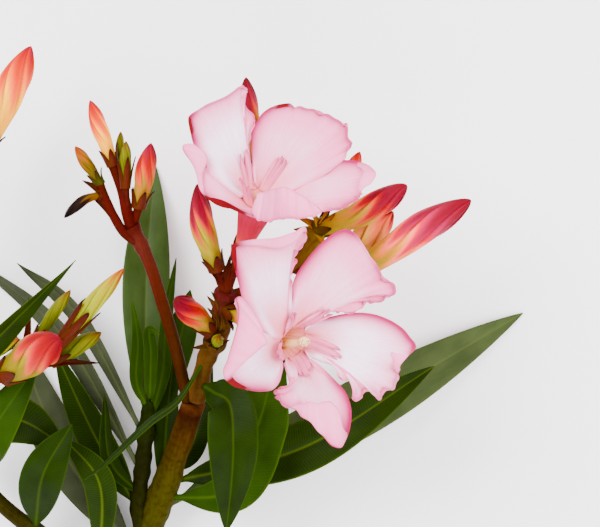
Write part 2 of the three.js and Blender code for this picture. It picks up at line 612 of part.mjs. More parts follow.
for (const name of Object.keys(LIMBS)) {
  addPiece(name, limbs[name].solid, name.endsWith('shoot') || name === 'stem' ? 'bark' : 'peduncle');
}
for (const [name, leaf] of Object.entries(LEAVES)) {
  addPiece(name, leafSolid(leaf).subtract(limbs[leaf.on].clearance), 'leaf');
}
for (const [name, bud] of Object.entries(BUDS)) {
  addPiece(name, budSolid(bud).subtract(limbs[bud.on].clearance), BUD_FINISHES[name] ?? 'bud_red');
}
for (const [name, bloom] of Object.entries(BLOOMS)) {
  addPiece(name, bloomSolid(bloom).subtract(limbs[bloom.on].clearance), 'petal');
}

export default branch;
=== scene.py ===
"""A flowering oleander branch, cut and laid down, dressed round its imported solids.

Sizes are millimetres in the branch's own frame: +Z up from the surface, +Y from the cut end to
the flowers. SHIFT takes them to the frame of the solids, and METRE to metres.
"""

import bpy
import numpy as np
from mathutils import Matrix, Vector


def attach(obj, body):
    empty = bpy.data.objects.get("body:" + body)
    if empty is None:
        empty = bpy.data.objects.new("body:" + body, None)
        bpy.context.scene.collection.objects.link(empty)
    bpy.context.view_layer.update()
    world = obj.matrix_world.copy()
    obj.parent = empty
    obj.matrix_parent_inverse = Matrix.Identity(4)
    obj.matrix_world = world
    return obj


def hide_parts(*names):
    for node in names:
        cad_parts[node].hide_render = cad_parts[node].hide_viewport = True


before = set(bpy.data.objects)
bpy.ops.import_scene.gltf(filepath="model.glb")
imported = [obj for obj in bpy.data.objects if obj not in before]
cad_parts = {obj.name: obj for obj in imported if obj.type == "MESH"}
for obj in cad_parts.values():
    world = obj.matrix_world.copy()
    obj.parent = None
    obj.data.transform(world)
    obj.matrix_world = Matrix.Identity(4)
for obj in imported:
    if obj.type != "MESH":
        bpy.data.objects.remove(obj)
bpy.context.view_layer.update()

METRE = 0.001
CENTIMETRE = 10
SHIFT = np.array([1.9, -2.2, 0.13])

# The camera looks straight down. Places in its view are in pixels, right and down from its corner.
# PIXEL_AT_ONE_METRE is a pixel's width in millimetres, one metre away
VIEW_SIZE = np.array([600.0, 527.0])
EYE = np.array([17.76, 14.04, 1055.0])
LENS_MM = 250.0
SENSOR_MM = 36.0
PIXEL_AT_ONE_METRE = 1000 * SENSOR_MM / LENS_MM / VIEW_SIZE[0]

UP = np.array([0, 0, 1])

rng = np.random.default_rng(7)


# Curves and grids

def lerp(low, high, share):
    """The value at a share of the way from low to high."""
    return low + (high - low) * share


def smooth(low, high, x):
    """0 below low, 1 above high, and 3x^2 - 2x^3 between."""
    x = np.clip((x - low) / (high - low), 0, 1)
    return x * x * (3 - 2 * x)


def unit(vectors):
    """Vectors over their own lengths."""
    return vectors / np.maximum(np.linalg.norm(vectors, axis=-1, keepdims=True), 1e-9)


def seen(u, v, height):
    """The place seen at column u and row v of the view, at a height: the ray from the eye cut there."""
    scale = PIXEL_AT_ONE_METRE * (EYE[2] - height) / 1000
    return np.array([
        EYE[0] + (u - VIEW_SIZE[0] / 2) * scale,
        EYE[1] + (VIEW_SIZE[1] / 2 - v) * scale,
        height,
    ])


def spline(places, t):
    """A Catmull-Rom curve through places, its ends mirrored, at shares t of its spans: each span
    is the cubic whose tangents are half the chord between the two neighbours."""
    p = np.asarray(places, float)
    p = np.concatenate([[2 * p[0] - p[1]], p, [2 * p[-1] - p[-2]]])
    x = np.clip(np.asarray(t, float), 0, 1) * (len(p) - 3)
    i = np.minimum(x.astype(int), len(p) - 4)
    w = (x - i).reshape(x.shape + (1,) * (p.ndim - 1))
    a, b, c, d = p[i], p[i + 1], p[i + 2], p[i + 3]
    return 0.5 * (2 * b + (c - a) * w + (2 * a - 5 * b + 4 * c - d) * w ** 2 + (3 * (b - c) + d - a) * w ** 3)


def carried(places, t, roll=0.0):
    """Along a curve: its place and three directions. Side is level and square to the curve, face is
    square to both, and both are turned about the curve by roll."""
    t = np.asarray(t, float)
    step = 1e-3
    along = unit(spline(places, np.minimum(t + step, 1)) - spline(places, np.maximum(t - step, 0)))
    side = unit(np.cross(along, UP))
    face = np.cross(side, along)
    turn = np.broadcast_to(roll, t.shape)[:, None]
    return (spline(places, t), along, side * np.cos(turn) - face * np.sin(turn),
            face * np.cos(turn) + side * np.sin(turn))


def run_length(places):
    """How far along a run of places each of them is: the sum of the chords up to it."""
    return np.append(0, np.cumsum(np.linalg.norm(np.diff(places, axis=0), axis=1)))


def round_angles(count):
    """Angles evenly round a circle."""
    return np.linspace(0, 2 * np.pi, count, endpoint=False)


def spokes(angle, side, face):
    """Spokes round a curve: cos a of its side and sin a of its face. The angles are one row for every
    place of the curve, or a row for each."""
    angle = np.atleast_2d(angle)[..., None]
    return np.cos(angle) * side[:, None] + np.sin(angle) * face[:, None]


def crossed(surface):
    """The cross product of a grid's two steps: square to its surface."""
    return np.cross(np.gradient(surface, axis=1), np.gradient(surface, axis=0))


def normals(surface):
    """A grid's directions square to its surface."""
    return unit(crossed(surface))


def paired(across, along):
    """A grid's places in the pattern: across it and along it."""
    return np.stack(np.broadcast_arrays(across, along), axis=-1)


def over_columns(tint, columns):
    """A tint for each row of a grid, the same in all its columns."""
    return np.repeat(tint[:, None], columns, axis=1)


def with_ends(grid):
    """What the points of a tube carry, and then what the two points in its ends do."""
    return np.concatenate([grid.reshape(-1, grid.shape[-1]), grid[0, :1], grid[-1, :1]])


def grid_faces(rows, columns, wrap=False, start=0):
    """The quads between neighbouring rows and columns of a grid of points."""
    row, column = np.meshgrid(np.arange(rows - 1), np.arange(columns - (not wrap)), indexing="ij")
    following = (column + 1) % columns
    quads = np.stack([row * columns + column, row * columns + following,
                      (row + 1) * columns + following, (row + 1) * columns + column], axis=-1)
    return quads.reshape(-1, 4) + start


def shell_faces(rows, columns):
    """The quads of a grid, of its copy on the other side, and of the rim between the two."""
    below = rows * columns
    index = np.arange(below).reshape(rows, columns)
    rim = np.concatenate([index[0, :-1], index[:-1, -1], index[-1, :0:-1], index[:0:-1, 0]])
    after = np.roll(rim, -1)
    return np.concatenate([grid_faces(rows, columns), grid_faces(rows, columns, start=below)[:, ::-1],
                           np.stack([after, rim, rim + below, after + below], axis=1)])


class Skin:
    """Points, quads, and what each point carries: its place in the pattern and its tint."""

    def __init__(self):
        self.points, self.faces, self.pattern, self.tint, self.slots = [], [], [], [], []
        self.count = 0

    def add(self, points, faces, pattern, tint, slot=0):
        """One more closed shell, turned outwards: the sum of a . (b x c) over its faces is its volume."""
        a, b, c, d = (points[faces[:, k]] for k in range(4))
        volume = np.sum(a * np.cross(b, c)) + np.sum(a * np.cross(c, d))
        faces = faces[:, ::-1] if volume < 0 else faces
        self.points.append(points)
        self.faces.append(faces + self.count)
        self.pattern.append(pattern)
        self.tint.append(tint)
        self.slots.append(np.full(len(faces), slot))
        self.count += len(points)

    def tube(self, rings, pattern, tint):
        """A shell round a stack of rings, with a point in the middle of each end."""
        rows, columns = rings.shape[:2]
        top = (rows - 1) * columns
        column = np.arange(columns)
        following = (column + 1) % columns
        first_end = np.full(columns, rows * columns)
        last_end = first_end + 1
        faces = [
            grid_faces(rows, columns, wrap=True),
            np.stack([first_end, following, column, first_end], axis=1),
            np.stack([last_end, top + column, top + following, last_end], axis=1),
        ]
        ends = [rings[0].mean(axis=0), rings[-1].mean(axis=0)]
        self.add(np.concatenate([rings.reshape(-1, 3), ends]), np.concatenate(faces),
                 with_ends(pattern), with_ends(tint))

    def shell(self, over, under, pattern, tint_over, tint_under, slot=0):
        """A shell between two grids, with a rim round it."""
        self.add(np.concatenate([over, under]).reshape(-1, 3), shell_faces(*over.shape[:2]),
                 np.concatenate([pattern, pattern]).reshape(-1, 2),
                 np.concatenate([tint_over, tint_under]).reshape(-1, 4), slot)

    def sheet(self, surface, thickness, pattern, tint_over, tint_under, slot=0):
        """A shell round a grid, with half the thickness on each side of it."""
        half = normals(surface) * (np.broadcast_to(thickness, surface.shape[:2]) / 2)[..., None]
        self.shell(surface + half, surface - half, pattern, tint_over, tint_under, slot)

    def piece(self, name, materials, node):
        """The shells as one object at the origin, that stands for its node and rides on the branch."""
        mesh = bpy.data.meshes.new(name)
        points = (np.concatenate(self.points) - SHIFT) * METRE
        faces = np.concatenate(self.faces)
        triangle = faces[:, 0] == faces[:, 3]
        sizes = np.where(triangle, 3, 4)
        loops = faces[np.arange(4)[None, :] < sizes[:, None]]
        mesh.vertices.add(len(points))
        mesh.vertices.foreach_set("co", points.ravel())
        mesh.loops.add(len(loops))
        mesh.loops.foreach_set("vertex_index", loops)
        mesh.polygons.add(len(faces))
        mesh.polygons.foreach_set("loop_start", np.concatenate([[0], np.cumsum(sizes)[:-1]]))
        mesh.polygons.foreach_set("use_smooth", np.ones(len(faces), bool))
        mesh.polygons.foreach_set("material_index", np.concatenate(self.slots).astype(np.int32))
        mesh.update(calc_edges=True)
        layer = mesh.uv_layers.new(name="pattern")
        layer.data.foreach_set("uv", np.concatenate(self.pattern)[loops].ravel())
        tint = mesh.color_attributes.new("tint", "FLOAT_COLOR", "POINT")
        tint.data.foreach_set("color", np.concatenate(self.tint).ravel())
        mesh.validate()
        for material in materials:
            mesh.materials.append(material)
        made = bpy.data.objects.new(name, mesh)
        bpy.context.scene.collection.objects.link(made)
        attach(made, "root")
        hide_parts(node)


# Colours

# What a white surface sends back under the lights, and how far a picture's colours are drawn to grey
LIGHT = 4.6
GREY_PULL = 0.2


def paint(red, green, blue):
    """The paint that sends back this much light under the lights."""
    return np.append(np.clip(np.array([red, green, blue]) / LIGHT, 0.0006, 0.95), 1.0)


def shade(red, green, blue):
    """The paint that looks like a colour, 0 to 255, under the lights. A tone x of 0 to 1, drawn to the
    grey by a fifth, comes from a light of 0.2236 x^1.3 / (1.06 - x)^1.52, which is drawn back."""
    tone = np.array([red, green, blue]) / 255
    tone = lerp(tone, tone.mean(), GREY_PULL)
    light = 0.2236 * tone ** 1.3 / (1.06 - tone) ** 1.52
    return paint(*((light - GREY_PULL * light.mean()) / (1 - GREY_PULL)))


def ramp(stops, x):
    """Colours at x between stops, each a position and a colour, by straight lines."""
    at = [position for position, _ in stops]
    colours = np.array([colour for _, colour in stops])
    return np.stack([np.interp(x, at, colours[:, k]) for k in range(4)], axis=-1)


def mixed(a, b, mask):
    """Colour a turned to colour b where the mask is 1."""
    return a + (b - a) * np.clip(mask, 0, 1)[..., None]


OLIVE = shade(150, 140, 30)
LEMON = shade(200, 182, 80)
ROSE = paint(1.7, 0.03, 0.26)
CRIMSON = paint(1.0, 0.006, 0.09)
BLOOD = paint(0.66, 0.004, 0.045)
MAROON = paint(0.34, 0.004, 0.02)
GREEN = shade(112, 122, 24)
BRICK = shade(150, 62, 36)
BROWN_RED = shade(138, 62, 22)
DARK_RED = shade(132, 42, 36)
DRY = shade(66, 34, 22)
PETAL_WHITE = np.array([0.93, 0.78, 0.93, 1])
PETAL_PINK = np.array([0.92, 0.27, 0.48, 1])
PETAL_ROSE = np.array([0.88, 0.12, 0.32, 1])
PETAL_UNDER = np.array([0.92, 0.29, 0.53, 1])
PETAL_DEEP = paint(1.5, 0.01, 0.36)
PETAL_RED = paint(0.62, 0.002, 0.02)
CROWN_PINK = np.array([0.8, 0.19, 0.36, 1])
THROAT_ORANGE = np.array([0.84, 0.32, 0.12, 1])
THROAT_PEACH = np.array([0.92, 0.37, 0.24, 1])
THROAT_GLOW = np.array([0.93, 0.29, 0.29, 1])


# Materials

def add(tree, kind, inputs=None, **settings):
    """A node with its settings and its inputs: a socket is linked, and anything else is set."""
    made = tree.nodes.new(kind)
    for key, value in settings.items():
        setattr(made, key, value)
    for key, value in (inputs or {}).items():
        if isinstance(value, bpy.types.NodeSocket):
            tree.links.new(value, made.inputs[key])
        else:
            made.inputs[key].default_value = value
    return made


def sums(tree, operation, a, b=0.0):
    """The outcome of one sum of two values."""
    return add(tree, "ShaderNodeMath", {0: a, 1: b}, operation=operation).outputs[0]


def blend(tree, mask, a, b, way="MIX"):
    """Two colours, mixed by a mask."""
    return add(tree, "ShaderNodeMix", {0: mask, 6: a, 7: b}, data_type="RGBA", blend_type=way).outputs[2]


def band(tree, value, low, high, to_low=0.0, to_high=1.0):
    """A value from low to high, taken to a range from to_low to to_high."""
    return add(tree, "ShaderNodeMapRange", {"Value": value, "From Min": low, "From Max": high,
                                            "To Min": to_low, "To Max": to_high}).outputs[0]


def group(name, inputs, outputs):
    """An empty node group with named inputs and outputs, and its two end nodes."""
    tree = bpy.data.node_groups.new(name, "ShaderNodeTree")
    for socket, kind in inputs:
        tree.interface.new_socket(socket, in_out="INPUT", socket_type=kind)
    for socket, kind in outputs:
        tree.interface.new_socket(socket, in_out="OUTPUT", socket_type=kind)
    return tree, tree.nodes.new("NodeGroupInput"), tree.nodes.new("NodeGroupOutput")


def grain_group():
    """Streaks that run lengthwise, from noise on a pattern squeezed across, and flecks, from noise
    on the piece's own place."""
    tree, given, out = group("grain", [("Pattern", "NodeSocketVector"), ("Across", "NodeSocketFloat"),
                                       ("Along", "NodeSocketFloat"), ("Fleck Size", "NodeSocketFloat")],
                             [("Streaks", "NodeSocketFloat"), ("Flecks", "NodeSocketFloat")])
    split = add(tree, "ShaderNodeSeparateXYZ", {0: given.outputs["Pattern"]})
    squeezed = add(tree, "ShaderNodeCombineXYZ", {
        0: sums(tree, "MULTIPLY", split.outputs[0], given.outputs["Across"]),
        1: sums(tree, "MULTIPLY", split.outputs[1], given.outputs["Along"]),
    }).outputs[0]
    streaks = add(tree, "ShaderNodeTexNoise", {"Vector": squeezed, "Scale": 1.0, "Detail": 3.0,
                                               "Roughness": 0.6})
    place = add(tree, "ShaderNodeTexCoord").outputs["Object"]
    flecks = add(tree, "ShaderNodeTexNoise", {"Vector": place, "Scale": given.outputs["Fleck Size"],
                                              "Detail": 4.0, "Roughness": 0.55})
    tree.links.new(streaks.outputs[0], out.inputs["Streaks"])
    tree.links.new(flecks.outputs[0], out.inputs["Flecks"])
    return tree


def veins_group():
    """Side veins of a leaf: sine ridges that leave the midrib at a steep slant, bent a little by noise."""
    tree, given, out = group("side_veins", [("Pattern", "NodeSocketVector"), ("Spacing", "NodeSocketFloat"),
                                            ("Slant", "NodeSocketFloat")],
                             [("Veins", "NodeSocketFloat")])
    split = add(tree, "ShaderNodeSeparateXYZ", {0: given.outputs["Pattern"]})
    wander = add(tree, "ShaderNodeTexNoise", {"Vector": given.outputs["Pattern"], "Scale": 1.3})
    across = sums(tree, "MULTIPLY", sums(tree, "ABSOLUTE", split.outputs[0]), given.outputs["Slant"])
    along = sums(tree, "SUBTRACT", split.outputs[1], across)
    bent = sums(tree, "ADD", along, sums(tree, "MULTIPLY", wander.outputs[0], 0.05))
    turns = sums(tree, "DIVIDE", sums(tree, "MULTIPLY", bent, 2 * np.pi), given.outputs["Spacing"])
    tree.links.new(band(tree, sums(tree, "SINE", turns), 0.55, 1.0), out.inputs["Veins"])
    return tree


GRAIN = grain_group()
VEINS = veins_group()


def place_group(tree, made, **inputs):
    """A node group placed in a material, with its own values."""
    named = {key.replace("_", " "): value for key, value in inputs.items()}
    return add(tree, "ShaderNodeGroup", named, node_tree=made)


def material(name, **shader):
    """A material with a Principled shader, the tint and the pattern that its pieces carry."""
    made = bpy.data.materials.new(name)
    made.use_nodes = True
    tree = made.node_tree
    principled = tree.nodes["Principled BSDF"]
    for key, value in shader.items():
        principled.inputs[key.replace("_", " ")].default_value = value
    tint = add(tree, "ShaderNodeAttribute", attribute_name="tint").outputs[0]
    pattern = add(tree, "ShaderNodeUVMap", uv_map="pattern").outputs[0]
    return made, tree, principled, tint, pattern


def finished(tree, principled, colour, rough, height, strength, distance):
    """Colour, roughness and a bump from a height, onto the shader."""
    bump = add(tree, "ShaderNodeBump", {"Height": height, "Strength": strength, "Distance": distance})
    tree.links.new(colour, principled.inputs["Base Color"])
    tree.links.new(rough, principled.inputs["Roughness"])
    tree.links.new(bump.outputs[0], principled.inputs["Normal"])


def flesh_material(name, across, along, fleck_size, streak_tone, fleck_tone, bump, rough, **shader):
    """Plant flesh: the tint, darkened by lengthwise streaks and flecks, with a bump from both."""
    made, tree, principled, tint, pattern = material(name, **shader)
    grain = place_group(tree, GRAIN, Pattern=pattern, Across=across, Along=along, Fleck_Size=fleck_size)
    streaks = band(tree, grain.outputs[0], 0.35, 0.7)
    flecks = band(tree, grain.outputs[1], 0.45, 0.75)
    colour = blend(tree, streaks, tint, (*streak_tone, 1), "MULTIPLY")
    colour = blend(tree, flecks, colour, (*fleck_tone, 1), "MULTIPLY")
    height = sums(tree, "ADD", streaks, sums(tree, "MULTIPLY", flecks, 0.4))
    finished(tree, principled, colour, band(tree, flecks, 0, 1, *rough), height, bump, 0.0003)
    return made


def leaf_material(name, tones, rough, specular):
    """A leaf: blade tones mixed by slow noise into clouds, partly uneven tone and partly painted sheen, side
    veins, a pale midrib and edge from the tint's red and green, and a paler underside from its blue."""
    made, tree, principled, tint, pattern = material(name, Specular_IOR_Level=specular)
    upper, upper_low, under, midrib, edge = (shade(*tone) for tone in tones)
    masks = add(tree, "ShaderNodeSeparateColor", {0: tint})
    grain = place_group(tree, GRAIN, Pattern=pattern, Across=3.0, Along=0.7, Fleck_Size=900.0)
    veins = place_group(tree, VEINS, Pattern=pattern, Spacing=0.07, Slant=0.36).outputs[0]
    cloud = add(tree, "ShaderNodeTexNoise", {"Vector": pattern, "Scale": 0.9, "Detail": 2.0}).outputs[0]
    # The upper tone and its darker clouds, mixed by slow noise: uneven tone of the blade and broad patches of
    # painted sheen
    blade = blend(tree, band(tree, cloud, 0.35, 0.68), upper, upper_low)
    blade = blend(tree, masks.outputs[2], blade, under)
    blade = blend(tree, sums(tree, "MULTIPLY", veins, 0.1), blade, midrib)
    blade = blend(tree, band(tree, grain.outputs[0], 0.5, 0.75, 0, 0.25), blade, upper_low, "MULTIPLY")
    blade = blend(tree, masks.outputs[0], blade, midrib)
    blade = blend(tree, masks.outputs[1], blade, edge)
    height = sums(tree, "ADD", sums(tree, "MULTIPLY", veins, -0.5), grain.outputs[1])
    finished(tree, principled, blade, band(tree, grain.outputs[1], 0.3, 0.7, *rough), height, 0.22, 0.0002)
    return made


# Leaf looks: tones of the upper side and its darker clouds, between which slow noise paints broad patches of
# sheen, the underside, midrib and margin, the roughness from and to, and the specular level
LEAF_LOOKS = {
    "dark": ([(56, 90, 6), (40, 68, 2), (82, 108, 34), (138, 160, 58), (112, 142, 30)], (0.4, 0.52), 0.02),
    "deep": ([(52, 86, 0), (38, 64, 0), (70, 100, 14), (100, 132, 20), (88, 128, 8)], (0.38, 0.5), 0.02),
    "grey": ([(116, 124, 90), (92, 102, 68), (122, 132, 102), (140, 150, 94), (122, 134, 80)],
             (0.42, 0.56), 0.03),
    "olive": ([(124, 142, 88), (106, 124, 72), (130, 144, 98), (146, 158, 96), (130, 144, 82)],
              (0.42, 0.56), 0.03),
    # The cool look is lighter and glossier than the others; part of its lightness is a painted sheen
    "cool": ([(102, 132, 62), (84, 114, 40), (114, 136, 84), (128, 150, 80), (110, 136, 58)],
             (0.32, 0.46), 0.05),
    "young": ([(72, 114, 2), (54, 92, 0), (92, 128, 26), (108, 144, 24), (112, 146, 26)], (0.38, 0.5), 0.02),
}
LEAF_SKINS = {look: leaf_material("leaf_" + look, *given) for look, given in LEAF_LOOKS.items()}

# Flesh: how far the streaks are squeezed across and along, the flecks' size, the tones that streaks
# and flecks darken by, the bump's strength, and the roughness from and to
BARK = flesh_material("stem_bark", 9.0, 0.35, 700.0, (0.72, 0.62, 0.4), (0.66, 0.42, 0.24), 0.3,
                      (0.46, 0.62), Specular_IOR_Level=0.01)
PEDUNCLE = flesh_material("peduncle_skin", 8.0, 0.5, 900.0, (0.74, 0.6, 0.6), (0.8, 0.7, 0.62), 0.2,
                          (0.38, 0.52), Specular_IOR_Level=0.01)
BUD_SKIN = flesh_material("bud_skin", 14.0, 0.5, 1100.0, (0.9, 0.83, 0.86), (0.96, 0.9, 0.92), 0.25,
                          (0.42, 0.54), Specular_IOR_Level=0.03)
SEPAL_SKIN = flesh_material("sepal_skin", 9.0, 0.8, 1200.0, (0.74, 0.6, 0.48), (0.8, 0.66, 0.5), 0.4,
                            (0.4, 0.55), Specular_IOR_Level=0.03)
PETAL_SKIN = flesh_material("petal_skin", 16.0, 0.5, 500.0, (0.97, 0.8, 0.87), (0.98, 0.9, 0.94), 0.3,
                            (0.56, 0.68), Specular_IOR_Level=0.03)
FRINGE_SKIN = flesh_material("fringe_skin", 10.0, 0.5, 800.0, (0.93, 0.7, 0.8), (0.97, 0.86, 0.9), 0.35,
                             (0.45, 0.58), Specular_IOR_Level=0.1, Subsurface_Weight=0.1,
                             Subsurface_Scale=0.002)
ANTHER_SKIN = flesh_material("anther_skin", 12.0, 1.0, 1600.0, (0.95, 0.86, 0.66), (0.97, 0.9, 0.76), 0.6,
                             (0.5, 0.7))


# Limbs

# The places on the way, and the radii at both ends
LIMBS = {
    "stem": ([(-26.2, -70.9, 3.4), (-20.3, -53.6, 6), (-14, -36.1, 13), (-8.5, -20.3, 22.5)], (3.3, 2.9)),
    "middle_shoot": ([(-21.4, -56.6, 5.6), (-22.8, -46.7, 7.5), (-21.6, -35.7, 10), (-20, -19.6, 13)],
                     (2.2, 1.6)),
    "left_shoot": ([(-24, -64.5, 4.4), (-42, -57.5, 5), (-58, -45.5, 9), (-66.5, -31, 16),
                    (-66.5, -20.3, 22)], (2.3, 1.6)),
    "flower_axis": ([(-7.9, -19.6, 23.5), (-5.6, -10.2, 29), (-2.4, -3.5, 33), (-1.1, 3.9, 37),
                     (-0.3, 7.3, 39)], (2.3, 1.6)),
    "left_peduncle": ([(-10, -20, 23.5), (-13.1, -6.1, 27.5), (-16, 3.8, 29), (-19.1, 13.7, 30),
                       (-22.1, 20.3, 31), (-23.7, 23.2, 32)], (1.5, 1.6)),
    "left_cluster_stem": ([(-66.5, -20.3, 22), (-61.5, -17.6, 28), (-56.7, -14.5, 34), (-54.1, -12.7, 37)],
                          (1.5, 1.1)),
    "top_left_stem": ([(-67, -26.4, 18.6), (-68, -8, 22), (-65.4, 17.4, 26), (-61.6, 35.9, 28),
                       (-59.3, 44, 29)], (1.3, 1)),
}

# Twigs: the limb or twig that each leaves, how far along it, the places on the way, and its radii
TWIGS = {
    "truss_left": ("left_peduncle", 0.74, [(-25.2, 21.4, 32.2), (-27.6, 25, 33.4), (-29.4, 28.8, 34),
                                           (-31.6, 34.2, 34)], (1.25, 1.05)),
    "truss_middle": ("left_peduncle", 0.97, [(-24.6, 26.4, 33), (-25.9, 32.1, 33), (-28.4, 39, 34)],
                     (1.6, 1.2)),
    "truss_green": ("truss_middle", 0.5, [(-26.8, 38.4, 30.8)], (0.8, 0.6)),
    "truss_calyx": ("truss_middle", 0.3, [(-25, 33.4, 34.8)], (0.9, 0.8)),
    "truss_right": ("left_peduncle", 1, [(-22.6, 25.2, 32.4), (-21.7, 28.6, 33)], (1.2, 1)),
    "truss_wilted": ("truss_left", 0.7, [(-32, 30.6, 34.6)], (0.9, 0.6)),
    "tall_bud_twig": ("flower_axis", 0.97, [(-1.7, 10.3, 40.6), (-2.7, 13.4, 42)], (1.3, 1.1)),
    "upper_twig": ("flower_axis", 0.98, [(1.2, 11.4, 41.4), (3, 15.2, 43.6)], (1.4, 1.2)),
    "lower_twig": ("flower_axis", 0.72, [(0.3, 2.2, 37.6)], (1.6, 1.4)),
    "short_bud_twig": ("flower_axis", 0.5, [(-4.4, -1.9, 36)], (1.1, 1)),
    "node_bud_twig": ("flower_axis", 0.44, [(-2.6, -5.6, 35.6)], (1.1, 0.9)),
    "right_cluster": ("flower_axis", 0.86, [(8.5, 8.8, 35), (16.5, 14.4, 35), (20.7, 19.8, 37),
                                            (22.6, 22.6, 38.6)], (1.3, 2.5)),
    "back_bud_twig": ("flower_axis", 0.94, [(3.6, 17.6, 34.5), (5.5, 28.4, 30.5), (6, 36.5, 30)], (1, 0.9)),
    "long_bud_twig": ("right_cluster", 0.45, [(23.5, 9.6, 34.6), (31, 11.8, 37)], (1.1, 1)),
    "middle_bud_twig": ("right_cluster", 0.62, [(23.6, 14.4, 33.2), (28.2, 15.2, 32.6)], (1, 0.9)),
    "tip_bud_twig": ("right_cluster", 0.8, [(24.5, 27.6, 33), (28.3, 32, 34.5)], (0.9, 0.7)),
    "cluster_high": ("left_cluster_stem", 0.5, [(-48.5, -10.4, 33.4), (-42, -6.6, 37)], (1, 0.9)),
    "cluster_low": ("cluster_high", 0.4, [(-42.6, -9.8, 33)], (0.8, 0.7)),
    "cluster_up": ("left_cluster_stem", 0.44, [(-52, -9.4, 33), (-47, -4.6, 35)], (0.8, 0.7)),
    "cluster_left": ("left_cluster_stem", 0.3, [(-60.4, -9.6, 30)], (0.8, 0.7)),
}

# Bracts and free sepals: the limb or twig, how far along it, and the tip
BRACTS = [
    ("tall_bud_twig", 0.35, (1, 16.4, 42.5)),
    ("tall_bud_twig", 0.3, (-6.2, 14.6, 42.6)),
    ("upper_twig", 0.35, (1.3, 14.6, 43.4)),
    ("flower_axis", 0.62, (-5, 6, 31)),
    ("flower_axis", 0.5, (-9.4, 0.6, 35.6)),
    ("flower_axis", 0.46, (-7.4, 2.4, 37.4)),
    ("flower_axis", 0.42, (-2.4, 2.4, 39.6)),
    ("flower_axis", 0.38, (-8.6, -6.6, 35.6)),
    ("flower_axis", 0.36, (0.6, -4.6, 37.6)),
    ("flower_axis", 0.54, (2.4, 3.4, 39)),
    ("flower_axis", 0.56, (1.2, 6, 39.6)),
    ("flower_axis", 0.52, (-1.2, 2, 41.2)),
    ("flower_axis", 0.58, (-4.8, 3.2, 38.6)),
    ("flower_axis", 0.5, (1.8, 0.6, 38.4)),
    ("flower_axis", 0.4, (-5.8, -4.6, 36.4)),
    ("flower_axis", 0.4, (-1.8, -2.4, 38)),
    ("flower_axis", 0.66, (2.6, 6.4, 39.4)),
    ("flower_axis", 0.66, (-3.8, 7.2, 40.2)),
    ("right_cluster", 0.9, (23.4, 17.6, 41.6)),
    ("right_cluster", 0.98, (20.4, 26.8, 41.8)),
    ("right_cluster", 0.98, (17, 25.4, 38.6)),
    ("right_cluster", 0.9, (16.2, 22.4, 37)),
    ("right_cluster", 0.96, (24.4, 27.6, 42)),
    ("right_cluster", 0.98, (26.4, 26.4, 42.4)),
    ("truss_left", 0.85, (-35.6, 34.4, 32.6)),
    ("truss_left", 0.5, (-34.2, 31.2, 33.6)),
    ("truss_middle", 0.8, (-23.8, 37.2, 36.6)),
    ("cluster_up", 0.7, (-48.5, 5.6, 37)),
    ("cluster_low", 0.4, (-31.5, -10.4, 31)),
]

